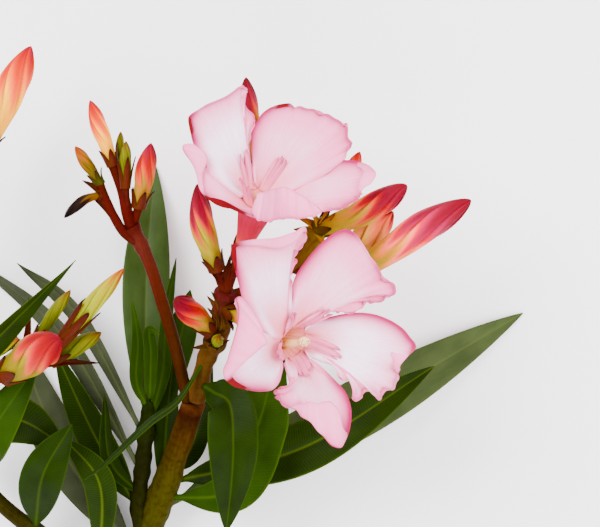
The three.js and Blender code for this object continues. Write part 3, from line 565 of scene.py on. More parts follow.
# Leaves: the limb, how far along it, the midrib's places, width, roll at foot and tip, fold, look, and for
# one the power that moves its widest place towards the tip
LEAVES = {
    "leaf_right_back": ("stem", 0.44, [(30.9, -23.4, 5), (74.2, 1.5, 0.47)], 15, (0, 0), 8, "olive"),
    "leaf_right_front": ("stem", 0.57, [(18.5, -31.9, 16), (51.1, -11.4, 21)], 13.4, (-8, 0), 14, "dark"),
    "leaf_front_broad": ("flower_axis", 0.1, [(-3.6, -17.4, 33), (0.6, -20.2, 39), (1.5, -29.5, 41),
                                              (1, -40, 37.5), (-0.4, -52, 30)], 12.6, (0, 0), 10, "deep",
                         1.1),
    "leaf_front_strip": ("stem", 0.5, [(0.8, -42.4, 19), (7, -27, 22.6), (9.6, -18.4, 24.4), (12.9, -3, 27)],
                         15, (6, 16), 10, "young"),
    "leaf_behind_stem": ("stem", 0.62, [(-8.9, -30.3, 9), (-4.4, -7.7, 8)], 7, (0, 0), 10, "dark"),
    "leaf_edge_on": ("flower_axis", 0.3, [(-12, -19.5, 31), (-19.4, -25.2, 30), (-29.6, -34.9, 27),
                                          (-35.6, -39.5, 25)], 6, (70, 75), 6, "deep"),
    "leaf_middle_tall": ("middle_shoot", 0.84, [(-20.9, 9.4, 8), (-18.9, 39, 0.47)], 12, (0, 0), 10, "cool"),
    "leaf_middle_right": ("middle_shoot", 0.7, [(-12.8, -6.4, 6.5), (-9.9, 7.4, 5)], 8, (0, 0), 12, "young"),
    "leaf_middle_narrow": ("middle_shoot", 0.84, [(-16.8, -14, 13), (-15.7, -0.1, 14), (-13.2, 15.4, 13.6)],
                           4.4, (30, 40), 10, "young"),
    "leaf_young_left": ("middle_shoot", 0.94, [(-23, -15.4, 16), (-22.6, -5, 18), (-24.1, 5.2, 17)], 3.4,
                        (0, -20), 14, "young"),
    "leaf_young_curled": ("middle_shoot", 1, [(-19.6, -17.4, 18), (-19.3, -8, 21), (-19.6, -2.6, 22),
                                              (-16.9, -3.4, 24)], 3.4, (0, 0), 14, "young"),
    "leaf_middle_low": ("stem", 0.52, [(-15.8, -26.4, 10), (-14, -10.6, 9.6)], 6, (0, 0), 12, "deep"),
    "leaf_left_upper": ("middle_shoot", 0.8, [(-37.5, 0.4, 9), (-53.6, 14.2, 5)], 7, (-50, -55), 8, "grey"),
    "leaf_left_long": ("middle_shoot", 0.6, [(-42.2, -4, 6), (-65.7, 15.7, 0.42)], 8, (-50, -50), 8, "grey"),
    "leaf_left_slope": ("middle_shoot", 0.3, [(-33.6, -29.8, 7), (-43.8, -7.6, 9.6)], 10, (-24, -24), 8,
                        "dark"),
    "leaf_left_back": ("stem", 0.2, [(-42.3, -33, 3), (-54.3, -4, 1.2)], 12, (0, 0), 6, "grey"),
    "leaf_left_upright": ("middle_shoot", 0.42, [(-29.9, -35, 13.6), (-31.1, -18.5, 15.4)], 5, (40, 40), 10,
                          "deep"),
    "leaf_left_low": ("left_shoot", 0.12, [(-32.2, -41, 16.5), (-41.1, -29.3, 17)], 8, (0, 0), 10, "dark"),
    "leaf_shoot_broad": ("left_shoot", 0.62, [(-59.2, -28.8, 27), (-46.9, -10.9, 30)], 12, (0, 0), 10,
                         "young"),
    "leaf_shoot_round": ("left_shoot", 0.8, [(-53.2, -24.6, 21), (-40.8, -31.2, 18.5)], 12, (0, 0), 10,
                         "dark"),
    "leaf_shoot_low": ("left_shoot", 0.35, [(-46, -38.6, 22), (-38.7, -25.7, 24)], 11, (0, 0), 10, "deep"),
    "leaf_shoot_front": ("left_shoot", 0.85, [(-66.5, -15, 33), (-52.6, -1.1, 46), (-36.3, 14.9, 50)], 8.6,
                         (10, 75), 12, "dark"),
}

# Knobs, where fallen flowers left their seats: the limb, how far along it, and how far they swell
KNOBS = [("flower_axis", 0.42, 0.7), ("flower_axis", 0.56, 0.8), ("flower_axis", 0.68, 0.5)]

# Colours of limbs, twigs and bracts, from foot to tip
LIMB_COLOURS = {
    "stem": [(0, shade(88, 98, 6)), (0.6, shade(120, 112, 10)), (0.85, shade(136, 92, 24)),
             (0.95, shade(104, 42, 14)), (1, shade(160, 104, 54))],
    "middle_shoot": [(0, shade(52, 54, 6)), (0.7, shade(44, 50, 4)), (1, shade(54, 84, 4))],
    "left_shoot": [(0, shade(66, 68, 14)), (1, shade(90, 66, 20))],
    "flower_axis": [(0, shade(162, 108, 58)), (0.15, shade(154, 108, 50)), (0.36, shade(146, 98, 46)),
                    (0.55, shade(142, 84, 46)), (0.75, shade(140, 64, 48)), (1, shade(140, 50, 46))],
    "left_peduncle": [(0, shade(104, 28, 10)), (0.25, shade(126, 34, 18)), (0.5, shade(146, 46, 38)),
                      (0.75, shade(154, 66, 58)), (0.87, shade(152, 60, 50)), (1, shade(134, 40, 32))],
    "left_cluster_stem": [(0, shade(126, 62, 24)), (1, shade(136, 44, 16))],
    "top_left_stem": [(0, shade(90, 76, 24)), (1, shade(126, 66, 28))],
}

TWIG_COLOURS = {
    # The right cluster's twig is painted lighter than its own colour, to make up for the shadow under the
    # blooms
    "right_cluster": [(0, BRICK), (0.5, shade(160, 120, 44)), (0.8, shade(180, 164, 58)),
                      (1, shade(190, 182, 70))],
    "middle_bud_twig": [(0, shade(166, 130, 48)), (1, shade(176, 140, 56))],
    "node_bud_twig": [(0, shade(132, 90, 24)), (1, shade(140, 104, 30))],
    "truss_left": [(0, shade(150, 58, 48)), (0.2, shade(140, 46, 36)), (0.6, shade(146, 42, 36)),
                   (1, shade(130, 42, 26))],
    "truss_middle": [(0, shade(132, 34, 22)), (0.5, shade(146, 42, 38)), (1, shade(128, 42, 26))],
    "truss_right": [(0, shade(132, 34, 22)), (1, shade(146, 48, 34))],
    "others": [(0, BRICK), (0.6, DARK_RED), (1, BRICK)],
}

BRACT_COLOURS = {
    # The right cluster's bracts are painted lighter than their own colour, to make up for the shadow under
    # the blooms
    "right_cluster": [(0, shade(214, 206, 92)), (0.6, shade(206, 180, 86)), (1, shade(172, 84, 56))],
    "flower_axis": [(0, shade(162, 150, 44)), (0.6, shade(148, 104, 44)), (1, shade(92, 40, 26))],
    "others": [(0, BRICK), (1, DRY)],
}

WOODY = ("stem", "middle_shoot", "left_shoot")

# Swellings: how high and how long those under leaves and twigs are, how long those at knobs are, and the
# place, height and length of the one at a twig's end
LEAF_CUSHION = (0.45, 1.6)
TWIG_CUSHION = (0.35, 1.8)
KNOB_REACH = 1.6
TWIG_END = (1, 0.35, 1.2)

# Where limbs and twigs start to round off, and the bracts' widths, thickness and the way that they face
ROUNDED_FROM = {"middle_shoot": 0.86}
TWIG_ROUNDED_FROM = 0.93
BRACT_WIDTH = 2.2
BRACT_WIDTHS = {"right_cluster": 2.6}
BRACT_THICKNESS = 0.3
BRACT_FACE = np.array([0.3, 0.2, 1.0])

curves = {name: np.array(places, float) for name, (places, _) in LIMBS.items()}
roots = {name: name for name in LIMBS}
for twig, (carrier, at, places, _) in TWIGS.items():
    curves[twig] = np.vstack([spline(curves[carrier], at), np.array(places, float)])
    roots[twig] = roots[carrier]


def limb_rings(places, radii, swellings=(), sides=28, rows_per_span=14, closed=0.0):
    """A limb's rings: round, tapering evenly, with low ridges of two sines round it, and swollen by a
    bell curve at each swelling. From the share closed on, if given, it rounds off as a half ellipse.
    Also the pattern, round it and along it, and the share of the way of each ring."""
    t = np.linspace(0, 1, rows_per_span * (len(places) - 1) + 1)
    place, _, side, face = carried(places, t)
    length = run_length(place)
    angle = round_angles(sides)
    radius = lerp(radii[0], radii[1], t)
    for centre, height, reach in swellings:
        radius = radius + height * np.exp(-((length - np.interp(centre, t, length)) / reach) ** 2)
    if closed:
        radius = radius * np.sqrt(1.0001 - (np.maximum(t - closed, 0) / (1 - closed)) ** 2)
    ridges = 1 + 0.014 * np.sin(5 * angle[None] + 0.12 * length[:, None]) \
        + 0.012 * np.sin(3 * angle[None] - 0.5 * length[:, None])
    rings = place[:, None] + (radius[:, None] * ridges)[..., None] * spokes(angle, side, face)
    return rings, paired(angle[None] * radius[:, None], length[:, None]) / CENTIMETRE, t


def blade(foot, tip, width, rows=14, columns=7):
    """A bract: a strip whose half width is w/2 (1 - t)^0.7, bowed up by a half sine and cupped across
    by the square of the distance from its middle."""
    t = np.linspace(0, 1, rows)[:, None]
    s = np.linspace(-1, 1, columns)[None]
    axis = unit(tip - foot)
    side = unit(np.cross(axis, BRACT_FACE))
    half = width / 2 * np.maximum(1 - t, 0.02) ** 0.7 * smooth(-0.4, 0.2, t)
    lift = 0.12 * np.linalg.norm(tip - foot) * np.sin(np.pi * t) + 0.35 * width * s ** 2 * (1 - t)
    middle = foot + (tip - foot) * t[..., None]
    return middle + side * (s * half)[..., None] + unit(np.cross(side, axis)) * lift[..., None]


def limb_piece(root):
    """A limb with every twig and bract that is fused to it, swollen where leaves, twigs and knobs sit.
    Its shaded side is greener, by a sine round it that fades towards its end."""
    skin = Skin()
    places, radii = LIMBS[root]
    seats = [(at, *LEAF_CUSHION) for limb, at, *_ in LEAVES.values() if limb == root]
    seats += [(at, *TWIG_CUSHION) for limb, at, *_ in TWIGS.values() if limb == root]
    seats += [(at, height, KNOB_REACH) for limb, at, height in KNOBS if limb == root]
    rings, pattern, t = limb_rings(places, radii, seats, closed=ROUNDED_FROM.get(root, 0.0))
    green = 0.5 + 0.5 * np.sin(round_angles(rings.shape[1]) + 0.6)
    tint = over_columns(ramp(LIMB_COLOURS[root], t), rings.shape[1])
    skin.tube(rings, pattern, mixed(tint, GREEN, 0.25 * green[None] * (1 - t)[:, None]))
    for name in (twig for twig in TWIGS if roots[twig] == root):
        rings, pattern, t = limb_rings(curves[name], TWIGS[name][3], [TWIG_END], sides=18, rows_per_span=10,
                                       closed=TWIG_ROUNDED_FROM)
        tint = ramp(TWIG_COLOURS.get(name, TWIG_COLOURS["others"]), t)
        skin.tube(rings, pattern, over_columns(tint, rings.shape[1]))
    for carrier, at, tip in (bract for bract in BRACTS if roots[bract[0]] == root):
        foot, tip = spline(curves[carrier], at), np.array(tip, float)
        strip = blade(foot, tip, BRACT_WIDTHS.get(carrier, BRACT_WIDTH))
        rows, columns = strip.shape[:2]
        t = np.linspace(0, 1, rows)
        tint = over_columns(ramp(BRACT_COLOURS.get(carrier, BRACT_COLOURS["others"]), t), columns)
        pattern = paired(np.linspace(0, 0.2, columns)[None], 0.6 * t[:, None])
        skin.sheet(strip, BRACT_THICKNESS, pattern, tint, tint)
    if root in WOODY:
        skin.piece(root + "_bark", [BARK], root)
    else:
        skin.piece(root + "_skin", [PEDUNCLE], root)


# Leaves

LEAF_ROWS = 84
LEAF_COLUMNS = 31
LEAF_THICKNESS = 0.34
STALK_SHARE = 0.07
STALK_HALF_WIDTH = 0.85
STALK_THICKNESS = 1.5
TIP_HALF_WIDTH = 0.12
GROOVE_DEPTH = 0.16
RIB_HEIGHT = 0.5


def leaf_piece(name, limb, at, places, width, roll, fold, look, swell=0.86):
    """A leaf. Its half width is hypot(w/2 sin(pi b^swell)^0.82, stalk), b being the share of the blade.
    It folds up along the midrib, with a groove over the midrib and a rib under it, both bell
    curves, its margin turns down by the sixth power, and it waves by a slow sine."""
    curve = np.vstack([spline(curves[limb], at), np.array(places, float)])
    along = np.linspace(0, 1, LEAF_ROWS) ** 0.96
    place, _, side, face = carried(curve, along, np.radians(lerp(roll[0], roll[1], along)))
    x = np.linspace(-1, 1, LEAF_COLUMNS)
    s = (np.sign(x) * np.abs(x) ** 1.35)[None]
    t = along[:, None]
    share = np.maximum(t - STALK_SHARE, 0) / (1 - STALK_SHARE)
    outline = np.maximum(np.sin(np.pi * share ** swell), 0) ** 0.82
    stalk = min(STALK_HALF_WIDTH, 0.14 * width)
    across = s * np.hypot(outline * width / 2, lerp(stalk, TIP_HALF_WIDTH, t))
    wave_at = rng.uniform(0, 6.28, 2)
    wave = 0.035 * width * (np.sin(5.5 * t + wave_at[0]) * np.maximum(s, 0) ** 2
                            + np.sin(6.5 * t + wave_at[1]) * np.maximum(-s, 0) ** 2)
    fold = np.radians(fold)
    rise = np.abs(across) * np.sin(fold) + wave * outline - 0.02 * width * np.abs(s) ** 6 * outline
    middle = place[:, None] + across[..., None] * np.cos(fold) * side[:, None] \
        + rise[..., None] * face[:, None]
    stalk_mask = np.maximum(1 - t / (2.2 * STALK_SHARE), 0)
    flat = LEAF_THICKNESS * (1 - 0.55 * s ** 2)
    round_stalk = min(STALK_THICKNESS, 2.0 * stalk) * np.sqrt(np.maximum(1 - s ** 2, 0.01))
    thickness = lerp(flat, round_stalk, stalk_mask) * lerp(1, 0.5, t ** 2)
    bell = np.exp(-(across / (0.3 + 0.035 * width)) ** 2) * (1 - stalk_mask) * outline
    over = middle + face[:, None] * (thickness / 2 - GROOVE_DEPTH * bell)[..., None]
    under = middle - face[:, None] * (thickness / 2 + RIB_HEIGHT * bell * (1 - t ** 2))[..., None]
    midrib = np.exp(-(across / lerp(0.42, 0.16, t)) ** 2) * smooth(0, 0.1, t) * lerp(0.75, 0.4, t)
    edge = 0.85 * smooth(0.93, 0.99, np.abs(s))
    masks = [np.stack(np.broadcast_arrays(midrib, edge * (1 - 0.4 * low), low, 1), axis=-1) for low in (0, 1)]
    skin = Skin()
    skin.shell(over, under, paired(across, run_length(place)[:, None]) / CENTIMETRE, *masks)
    skin.piece(name + "_blade", [LEAF_SKINS[look]], name)


# Buds

# Colours of buds, from foot to tip
RED_BUD = [(0, OLIVE), (0.14, shade(194, 186, 76)), (0.36, shade(212, 202, 98)), (0.5, shade(216, 186, 108)),
           (0.61, shade(232, 134, 122)), (0.71, CRIMSON), (0.86, BLOOD), (1, MAROON)]
LEFT_RED_BUD = [(0, OLIVE), (0.12, shade(200, 178, 88)), (0.36, shade(214, 178, 98)),
                (0.52, shade(234, 152, 124)), (0.72, shade(228, 84, 78)), (0.92, CRIMSON), (1, BLOOD)]
# Lighter than the bud's own colours, to make up for the upper bloom's shadow on it: painted light
OLIVE_BUD = [(0, shade(196, 190, 74)), (0.3, shade(222, 212, 108)), (0.46, shade(228, 202, 136)),
             (0.54, shade(238, 158, 144)), (0.62, shade(232, 80, 98)), (0.74, CRIMSON), (1, BLOOD)]
ORANGE_BUD = [(0, OLIVE), (0.2, shade(236, 212, 126)), (0.44, shade(242, 214, 138)),
              (0.6, shade(242, 178, 140)), (0.78, shade(236, 132, 106)), (0.93, shade(230, 76, 80)),
              (1, CRIMSON)]
SMALL_BUD = [(0, OLIVE), (0.5, shade(166, 140, 34)), (0.75, shade(206, 150, 76)), (1, shade(202, 96, 70))]
YELLOW_BUD = [(0, OLIVE), (0.3, shade(178, 182, 20)), (0.5, shade(208, 212, 40)), (0.8, shade(214, 208, 48)),
              (0.93, shade(220, 160, 80)), (1, shade(206, 92, 50))]
# Lighter than the bud's own colours, to make up for the shadow that falls on it: painted light
SALMON_BUD = [(0, OLIVE), (0.3, shade(224, 208, 124)), (0.46, shade(236, 216, 158)),
              (0.68, shade(240, 206, 170)), (0.86, shade(242, 176, 152)), (0.96, shade(224, 76, 70)),
              (1, shade(150, 30, 34))]
GREEN_BUD = [(0, GREEN), (0.4, shade(158, 166, 26)), (0.8, shade(174, 174, 46)), (1, shade(166, 96, 36))]
WILTED_BUD = [(0, shade(184, 142, 46)), (0.32, shade(160, 112, 34)), (0.44, DRY), (1, shade(30, 16, 20))]

# Buds: the limb or twig, the places on the way, girth, sepal length, colours along the bud, and sepals
BUDS = {
    "bud_tall": ("tall_bud_twig", [(-5.4, 21.6, 45.5), (-7.1, 33.3, 48)], 5.7, 5.4, RED_BUD, BRICK),
    "bud_short": ("short_bud_twig", [(-12.6, 5.7, 41)], 5.8, 3.4,
                  [(0, OLIVE), (0.28, shade(208, 182, 96)), (0.42, shade(222, 164, 108)),
                   (0.54, shade(232, 108, 100)), (0.66, shade(224, 56, 62)), (0.78, BLOOD), (1, MAROON)],
                  BRICK),
    "bud_back": ("back_bud_twig", [(4.5, 59.8, 33)], 5.4, 5, RED_BUD, GREEN),
    "bud_right_upper": ("right_cluster", [(33.8, 26.8, 42.5), (43.7, 33, 46)], 6.4, 4.6, OLIVE_BUD, OLIVE),
    "bud_right_middle": ("middle_bud_twig", [(40.6, 26.7, 37.2)], 6.8, 5, SALMON_BUD, OLIVE),
    "bud_right_long": ("long_bud_twig", [(37.4, 15.9, 39.4), (45, 21, 42), (51.6, 25, 44), (59.2, 29.4, 46)],
                       7.5, 6,
                       [(0, OLIVE), (0.2, shade(206, 196, 96)), (0.31, shade(236, 198, 134)),
                        (0.42, shade(242, 186, 178)), (0.52, shade(238, 112, 134)), (0.62, ROSE),
                        (0.76, CRIMSON), (0.94, BLOOD), (1, BLOOD)], OLIVE),
    "bud_right_tip": ("tip_bud_twig", [(32.4, 41.4, 37)], 3.4, 3, ORANGE_BUD, GREEN),
    "bud_left_pale": ("truss_middle", [(-33.5, 53.9, 38)], 3.9, 4.6, ORANGE_BUD, BRICK),
    "bud_left_red": ("truss_right", [(-18.6, 43.5, 37)], 4.7, 5, LEFT_RED_BUD, BRICK),
    "bud_left_small": ("truss_left", [(-37.2, 42.7, 37)], 2.9, 4, SMALL_BUD, GREEN),
    "bud_left_wilted": ("truss_wilted", [(-35.6, 29.2, 36), (-40, 25.2, 35)], 2.5, 1.5, WILTED_BUD, BRICK),
    "bud_left_green": ("truss_green", [(-26.3, 46.5, 31)], 2, 2.4, GREEN_BUD, GREEN),
    "bud_left_calyx": ("truss_calyx", [(-24.8, 44, 36.4)], 2.8, 8, GREEN_BUD, BRICK),
    "bud_axis_small": ("node_bud_twig", [(-2, -3.8, 40.4)], 2.8, 1.8, GREEN_BUD, GREEN),
    "bud_cluster_pink": ("left_cluster_stem", [(-40.4, -4.2, 45)], 9, 5.4,
                         [(0, OLIVE), (0.28, shade(192, 180, 74)), (0.42, shade(200, 180, 84)),
                          (0.52, shade(230, 166, 128)), (0.64, shade(228, 118, 116)),
                          (0.78, shade(218, 58, 86)), (0.9, shade(208, 44, 70)), (1, BLOOD)], BRICK),
    "bud_cluster_yellow": ("cluster_high", [(-25, 12.9, 42)], 4.1, 14.5, YELLOW_BUD, BRICK),
    "bud_cluster_low": ("cluster_low", [(-30.9, -2.8, 34.4)], 4, 6, GREEN_BUD, BROWN_RED),
    "bud_cluster_up": ("cluster_up", [(-38.2, 7.6, 38.6)], 3, 5, GREEN_BUD, BROWN_RED),
    "bud_cluster_left": ("cluster_left", [(-51, -4.4, 34)], 3, 2.6, YELLOW_BUD, BROWN_RED),
    "bud_top_left": ("top_left_stem", [(-48.2, 67.4, 33)], 7.4, 4.6, ORANGE_BUD, BROWN_RED),
}

LOBES = 5
BUD_ROWS = 76
BUD_COLUMNS = LOBES * 16
BUD_TWIST = 1.7
BUD_NECK = 0.64
BUD_WIDEST = 0.58

# How blunt buds are, from 0 to 1
BLUNTNESS = 0.06
BLUNT_BUDS = {"bud_right_upper": 0.24, "bud_right_long": 0.2, "bud_short": 0.3, "bud_cluster_pink": 0.2}

# Sepals: rows and columns, thickness, how far they stand off the bud, and the length from which they
# are broad up to their tips
SEPAL_GRID = (22, 9)
SEPAL_THICKNESS = 0.26
SEPAL_GAP = 0.28
BROAD_SEPALS_FROM = 10


def bud_girth(t, blunt=BLUNTNESS):
    """How a bud swells from its neck and closes to its tip: two thirds of its girth up to 1 by a sine to
    the power 1.3, and from its widest down by (1 - x^2)^0.8, x being the share of the way to the tip,
    mixed with the blunter root of 1 - x^8 by as much as it is blunt."""
    swell = BUD_NECK + (1 - BUD_NECK) * np.sin(np.minimum(t / BUD_WIDEST, 1) * np.pi / 2) ** 1.3
    x = np.clip((t - BUD_WIDEST) / (1 - BUD_WIDEST), 0, 1)
    close = (1 - blunt) * (1 - x ** 2) ** 0.8 + blunt * np.sqrt(1.0001 - x ** 8)
    return np.where(t < BUD_WIDEST, swell, close)


def sepal_skin(skin, curve, length, girth, sepal_length, colour):
    """A calyx: blades round the foot of a bud, whose half width is (1 - x^1.3) to a power, a half for
    long sepals, which follow its girth and flare at their tips by x cubed."""
    rows, columns = SEPAL_GRID
    local = np.linspace(0, 1, rows)
    s = np.linspace(-1, 1, columns)[None]
    share = min(sepal_length / length, 0.85)
    taper = 0.5 if sepal_length > BROAD_SEPALS_FROM else 0.85
    half_angle = np.pi / LOBES * 1.12 * (1 - local ** 1.3) ** taper + 0.02
    tint = ramp([(0, colour), (0.6, mixed(colour, DARK_RED, 0.2)), (0.88, mixed(colour, DARK_RED, 0.7)),
                 (1, DRY)], local)
    tint = mixed(over_columns(tint, columns), OLIVE, 0.3 * s ** 2 * (1 - local)[:, None])
    pattern = paired(0.15 * s, local[:, None] * sepal_length / CENTIMETRE)
    for k in range(LOBES):
        t = local * min(share * rng.uniform(0.85, 1.08), 1)
        place, _, side, face = carried(curve, t)
        centre = 2 * np.pi * (k + rng.uniform(-0.06, 0.06)) / LOBES
        flare = rng.uniform(0.2, 1.1) * local ** 3
        radius = (girth / 2 * bud_girth(t) + SEPAL_GAP + flare)[:, None] * (1 - 0.04 * s ** 2)
        angle = centre + half_angle[:, None] * s
        strip = place[:, None] + radius[..., None] * spokes(angle, side, face)
        skin.sheet(strip, SEPAL_THICKNESS, pattern, tint, tint, slot=1)


def bud_tint(colours, t, angle, phase, wound):
    """A bud's colours: its ramp, pushed back and forth by a cosine across each petal, with a painted
    highlight on the lip where a petal laps over the next and a painted shade line in the seam between them,
    all bell curves."""
    tongue = smooth(0.12, 0.4, t) * (1 - 0.6 * smooth(0.7, 1, t))
    pushed = t[:, None] + 0.11 * np.cos(2 * np.pi * (phase - 0.35)) * tongue[:, None]
    tint = ramp(colours, np.clip(pushed + 0.02 * np.sin(3 * angle)[None], 0, 1))
    # A painted highlight along the raised lip where each petal laps over the next
    lip_highlight = np.exp(-((phase - 0.86) / 0.09) ** 2) * wound
    # Painted shade in the seam at the step between one petal and the next
    seam_shade = (np.exp(-((phase - 0.03) / 0.06) ** 2) + np.exp(-((phase - 0.99) / 0.03) ** 2)) * wound
    tint = mixed(tint, tint * np.array([1.3, 2.2, 1.8, 1]), 0.35 * lip_highlight * (1 - smooth(0.6, 0.95, t))[:, None])
    return mixed(tint, tint * np.array([0.42, 0.25, 0.3, 1]), 0.75 * seam_shade)


def bud_piece(name, carrier, places, girth, sepal_length, colours, sepal_colour):
    """A bud: a smooth tube, and out of it five petals wound round each other. Across a petal the
    radius grows evenly and drops at the edge that laps over the next, and the edges twist."""
    seat, places = curves[carrier][-1], np.array(places, float)
    curve = np.vstack([seat - unit(places[0] - seat), places])
    t = 1 - (1 - np.linspace(0, 1, BUD_ROWS)) ** 1.5
    angle = round_angles(BUD_COLUMNS)
    place, _, side, face = carried(curve, t)
    length = run_length(place)
    wound = smooth(0.28, 0.52, t)[:, None]
    turn = BUD_TWIST * np.maximum(t - 0.25, 0) / 0.75
    phase = (LOBES * (angle[None] - turn[:, None]) / (2 * np.pi)) % 1
    lap = phase - smooth(0.9, 1.0, phase)
    tube = 0.03 * np.cos(LOBES * angle)[None] * (1 - wound)
    depth = 0.25 * wound * (1 - 0.3 * smooth(0.85, 1, t))[:, None]
    swell = bud_girth(t, BLUNT_BUDS.get(name, BLUNTNESS))[:, None]
    radius = girth / 2 * swell * (1 + tube + depth * (lap - 0.45))
    rings = place[:, None] + radius[..., None] * spokes(angle, side, face)
    pattern = paired(angle[None] * girth / 2, length[:, None]) / CENTIMETRE
    skin = Skin()
    skin.tube(rings, pattern, bud_tint(colours, t, angle, phase, wound))
    sepal_skin(skin, curve, length[-1], girth, sepal_length, sepal_colour)
    skin.piece(name + "_wound", [BUD_SKIN, SEPAL_SKIN], name)


# Open blooms

# Petals. Root: the stretch of the throat's rim that it leaves, as two bearings. Margin: the places of its
# outline in the view, from one end of the root to the other. Turned: where the margin is folded over, the
# place in the view of the free edge, and how far it rises over the margin. Arch: how high it bulges.
# Stand: how steeply its crown scale stands up, from 0 to 1. Crown: the scale's length, as a share of the
# bloom's. The rest are shares along the margin and strengths. Deep: stretches with a dark pink edge. Red:
# a stretch with a red fold. Ruffle: the stretch that ruffles. White: how pale its middle is. Blush and
# tip: how pink the whole petal and its end are
LOWER_PETALS = [
    dict(name="high_left", root=(160, 94), arch=2.0, stand=0.3,
         deep=[(0.08, 0.26, 1.0), (0.3, 0.5, 0.35), (0.56, 0.95, 0.3)], red=(0.11, 0.24),
         ruffle=(0.5, 0.95, 0.45), white=0.6, blush=0.75,
         margin=[(266, 335), (246, 309), (242, 294), (237, 275), (233, 261), (232, 251), (233, 246),
                 (247, 242), (262, 240), (273, 239), (281, 237), (290, 234), (296, 232), (302, 228.5),
                 (304.5, 232), (304.5, 240), (302, 245), (297, 252), (293, 254), (293, 259.5),
                 (295, 262.5), (293.5, 267), (290.5, 272), (289.5, 279), (290, 285), (292, 291),
                 (293.5, 299), (293.5, 307)],
         turned={4: (237, 262, 0.9), 5: (236.5, 252, 1.0), 6: (237, 247, 1.0), 7: (245, 245.5, 1.2),
                 8: (259, 246, 1.5), 9: (272, 248, 1.6), 10: (281, 248, 1.6), 11: (290, 245, 1.5),
                 12: (296, 241, 1.3), 13: (302, 233.5, 1.0)}),
    dict(name="high_right", root=(94, 44), arch=2.2, deep=[(0.05, 0.32, 0.9), (0.42, 0.8, 0.45)],
         ruffle=(0.42, 0.95, 0.5), white=0.2, blush=0.8,
         margin=[(291, 299), (292.5, 286), (297, 274.5), (303.5, 265), (313, 253), (323.5, 242.5),
                 (333, 235.5), (342, 231.8), (348, 232), (354.5, 236), (360, 243.5), (366.5, 254),
                 (371.5, 262.5), (376, 268.5), (380, 276), (386, 280), (391, 286), (393, 291), (390, 296),
                 (386, 299), (379, 301.5), (372, 302), (368, 301), (364.5, 305), (360, 309), (353, 311),
                 (343, 312), (333.5, 310.5), (323, 316), (312, 323)]),
    dict(name="right", root=(44, -36), arch=1.8, deep=[(0.02, 0.3, 1.0), (0.35, 0.8, 0.3)],
         ruffle=(0.35, 0.95, 0.5), white=0.6, blush=0.5, tip=0.3,
         margin=[(307, 326), (322, 320), (335, 316), (352, 313.5), (364.5, 313.5), (377, 316),
                 (390, 321.5), (401, 329), (408, 337.5), (413, 344), (412, 350), (407, 357), (401, 363),
                 (396.5, 367.5), (396, 374), (393.5, 380), (392.5, 387), (388.5, 389), (384, 391.5),
                 (379, 397), (376.5, 396), (374, 392), (369, 391), (363.5, 392.5), (360, 396),
                 (356.5, 399), (354, 397), (355, 391), (353, 384.5), (349.5, 379), (343.5, 379),
                 (339, 373), (337.5, 367.5), (331.5, 365), (323, 362.5), (312, 358)],
         turned={11: (391, 352.5, 1.0), 12: (393.5, 360, 1.0), 13: (393, 367.5, 0.8)}),
    dict(name="low", root=(-36, -116), arch=1.8, stand=0.2, crown=0.75,
         deep=[(0.06, 0.42, 1.0), (0.45, 0.9, 0.45)], ruffle=(0.4, 0.9, 0.4), white=0.35, blush=0.8,
         margin=[(311, 359), (322, 367.5), (333.5, 379), (343, 389), (347.5, 398), (350, 408), (350, 419),
                 (347.5, 431.5), (344, 442), (341, 447.5), (334.5, 446.5), (327, 441), (318.5, 432.5),
                 (309, 421), (301, 413), (294, 410), (287.5, 406), (279, 399.5), (276, 396), (280, 395),
                 (276, 391.5), (277, 388), (281, 386.5), (286, 389), (288.5, 386), (288.5, 380),
                 (286, 370.5), (284, 363)],
         turned={8: (343, 428, 0.8), 9: (339, 412, 1.2), 10: (332, 402, 1.5), 11: (326, 401, 1.7),
                 12: (317.5, 403.5, 1.8), 13: (309, 401.5, 1.6), 14: (303, 402.5, 1.3),
                 15: (296, 405.5, 1.0)}),
    dict(name="left", root=(-116, -200), arch=1.6, stand=0.4, crown=0.9, deep=[(0.2, 0.85, 0.8)],
         red=(0.3, 0.42), ruffle=(0.75, 0.95, 0.2), white=0.6, blush=0.65,
         margin=[(282, 359), (283, 366), (281.5, 374), (279, 382), (273, 388.5), (264, 390.5),
                 (253.5, 390), (243, 388.5), (234, 386), (228, 381.5), (224.5, 377.5), (223.5, 369.5),
                 (227, 361), (231, 348), (235, 335.5), (238, 322.5), (239, 310), (237.5, 298.5),
                 (245, 299), (249.5, 306), (258, 316), (266, 328.5), (271, 336.5)],
         turned={7: (243.5, 385.5, 0.6), 8: (236, 381, 0.9), 9: (233, 377.5, 1.0), 10: (231, 375, 1.0),
                 11: (235.5, 371.5, 1.2), 12: (242, 365, 1.5), 13: (249, 358.5, 1.7), 14: (257, 352, 1.7),
                 15: (263, 346.5, 1.5), 16: (267, 343, 1.2), 17: (262, 330, 1.0)}),
]

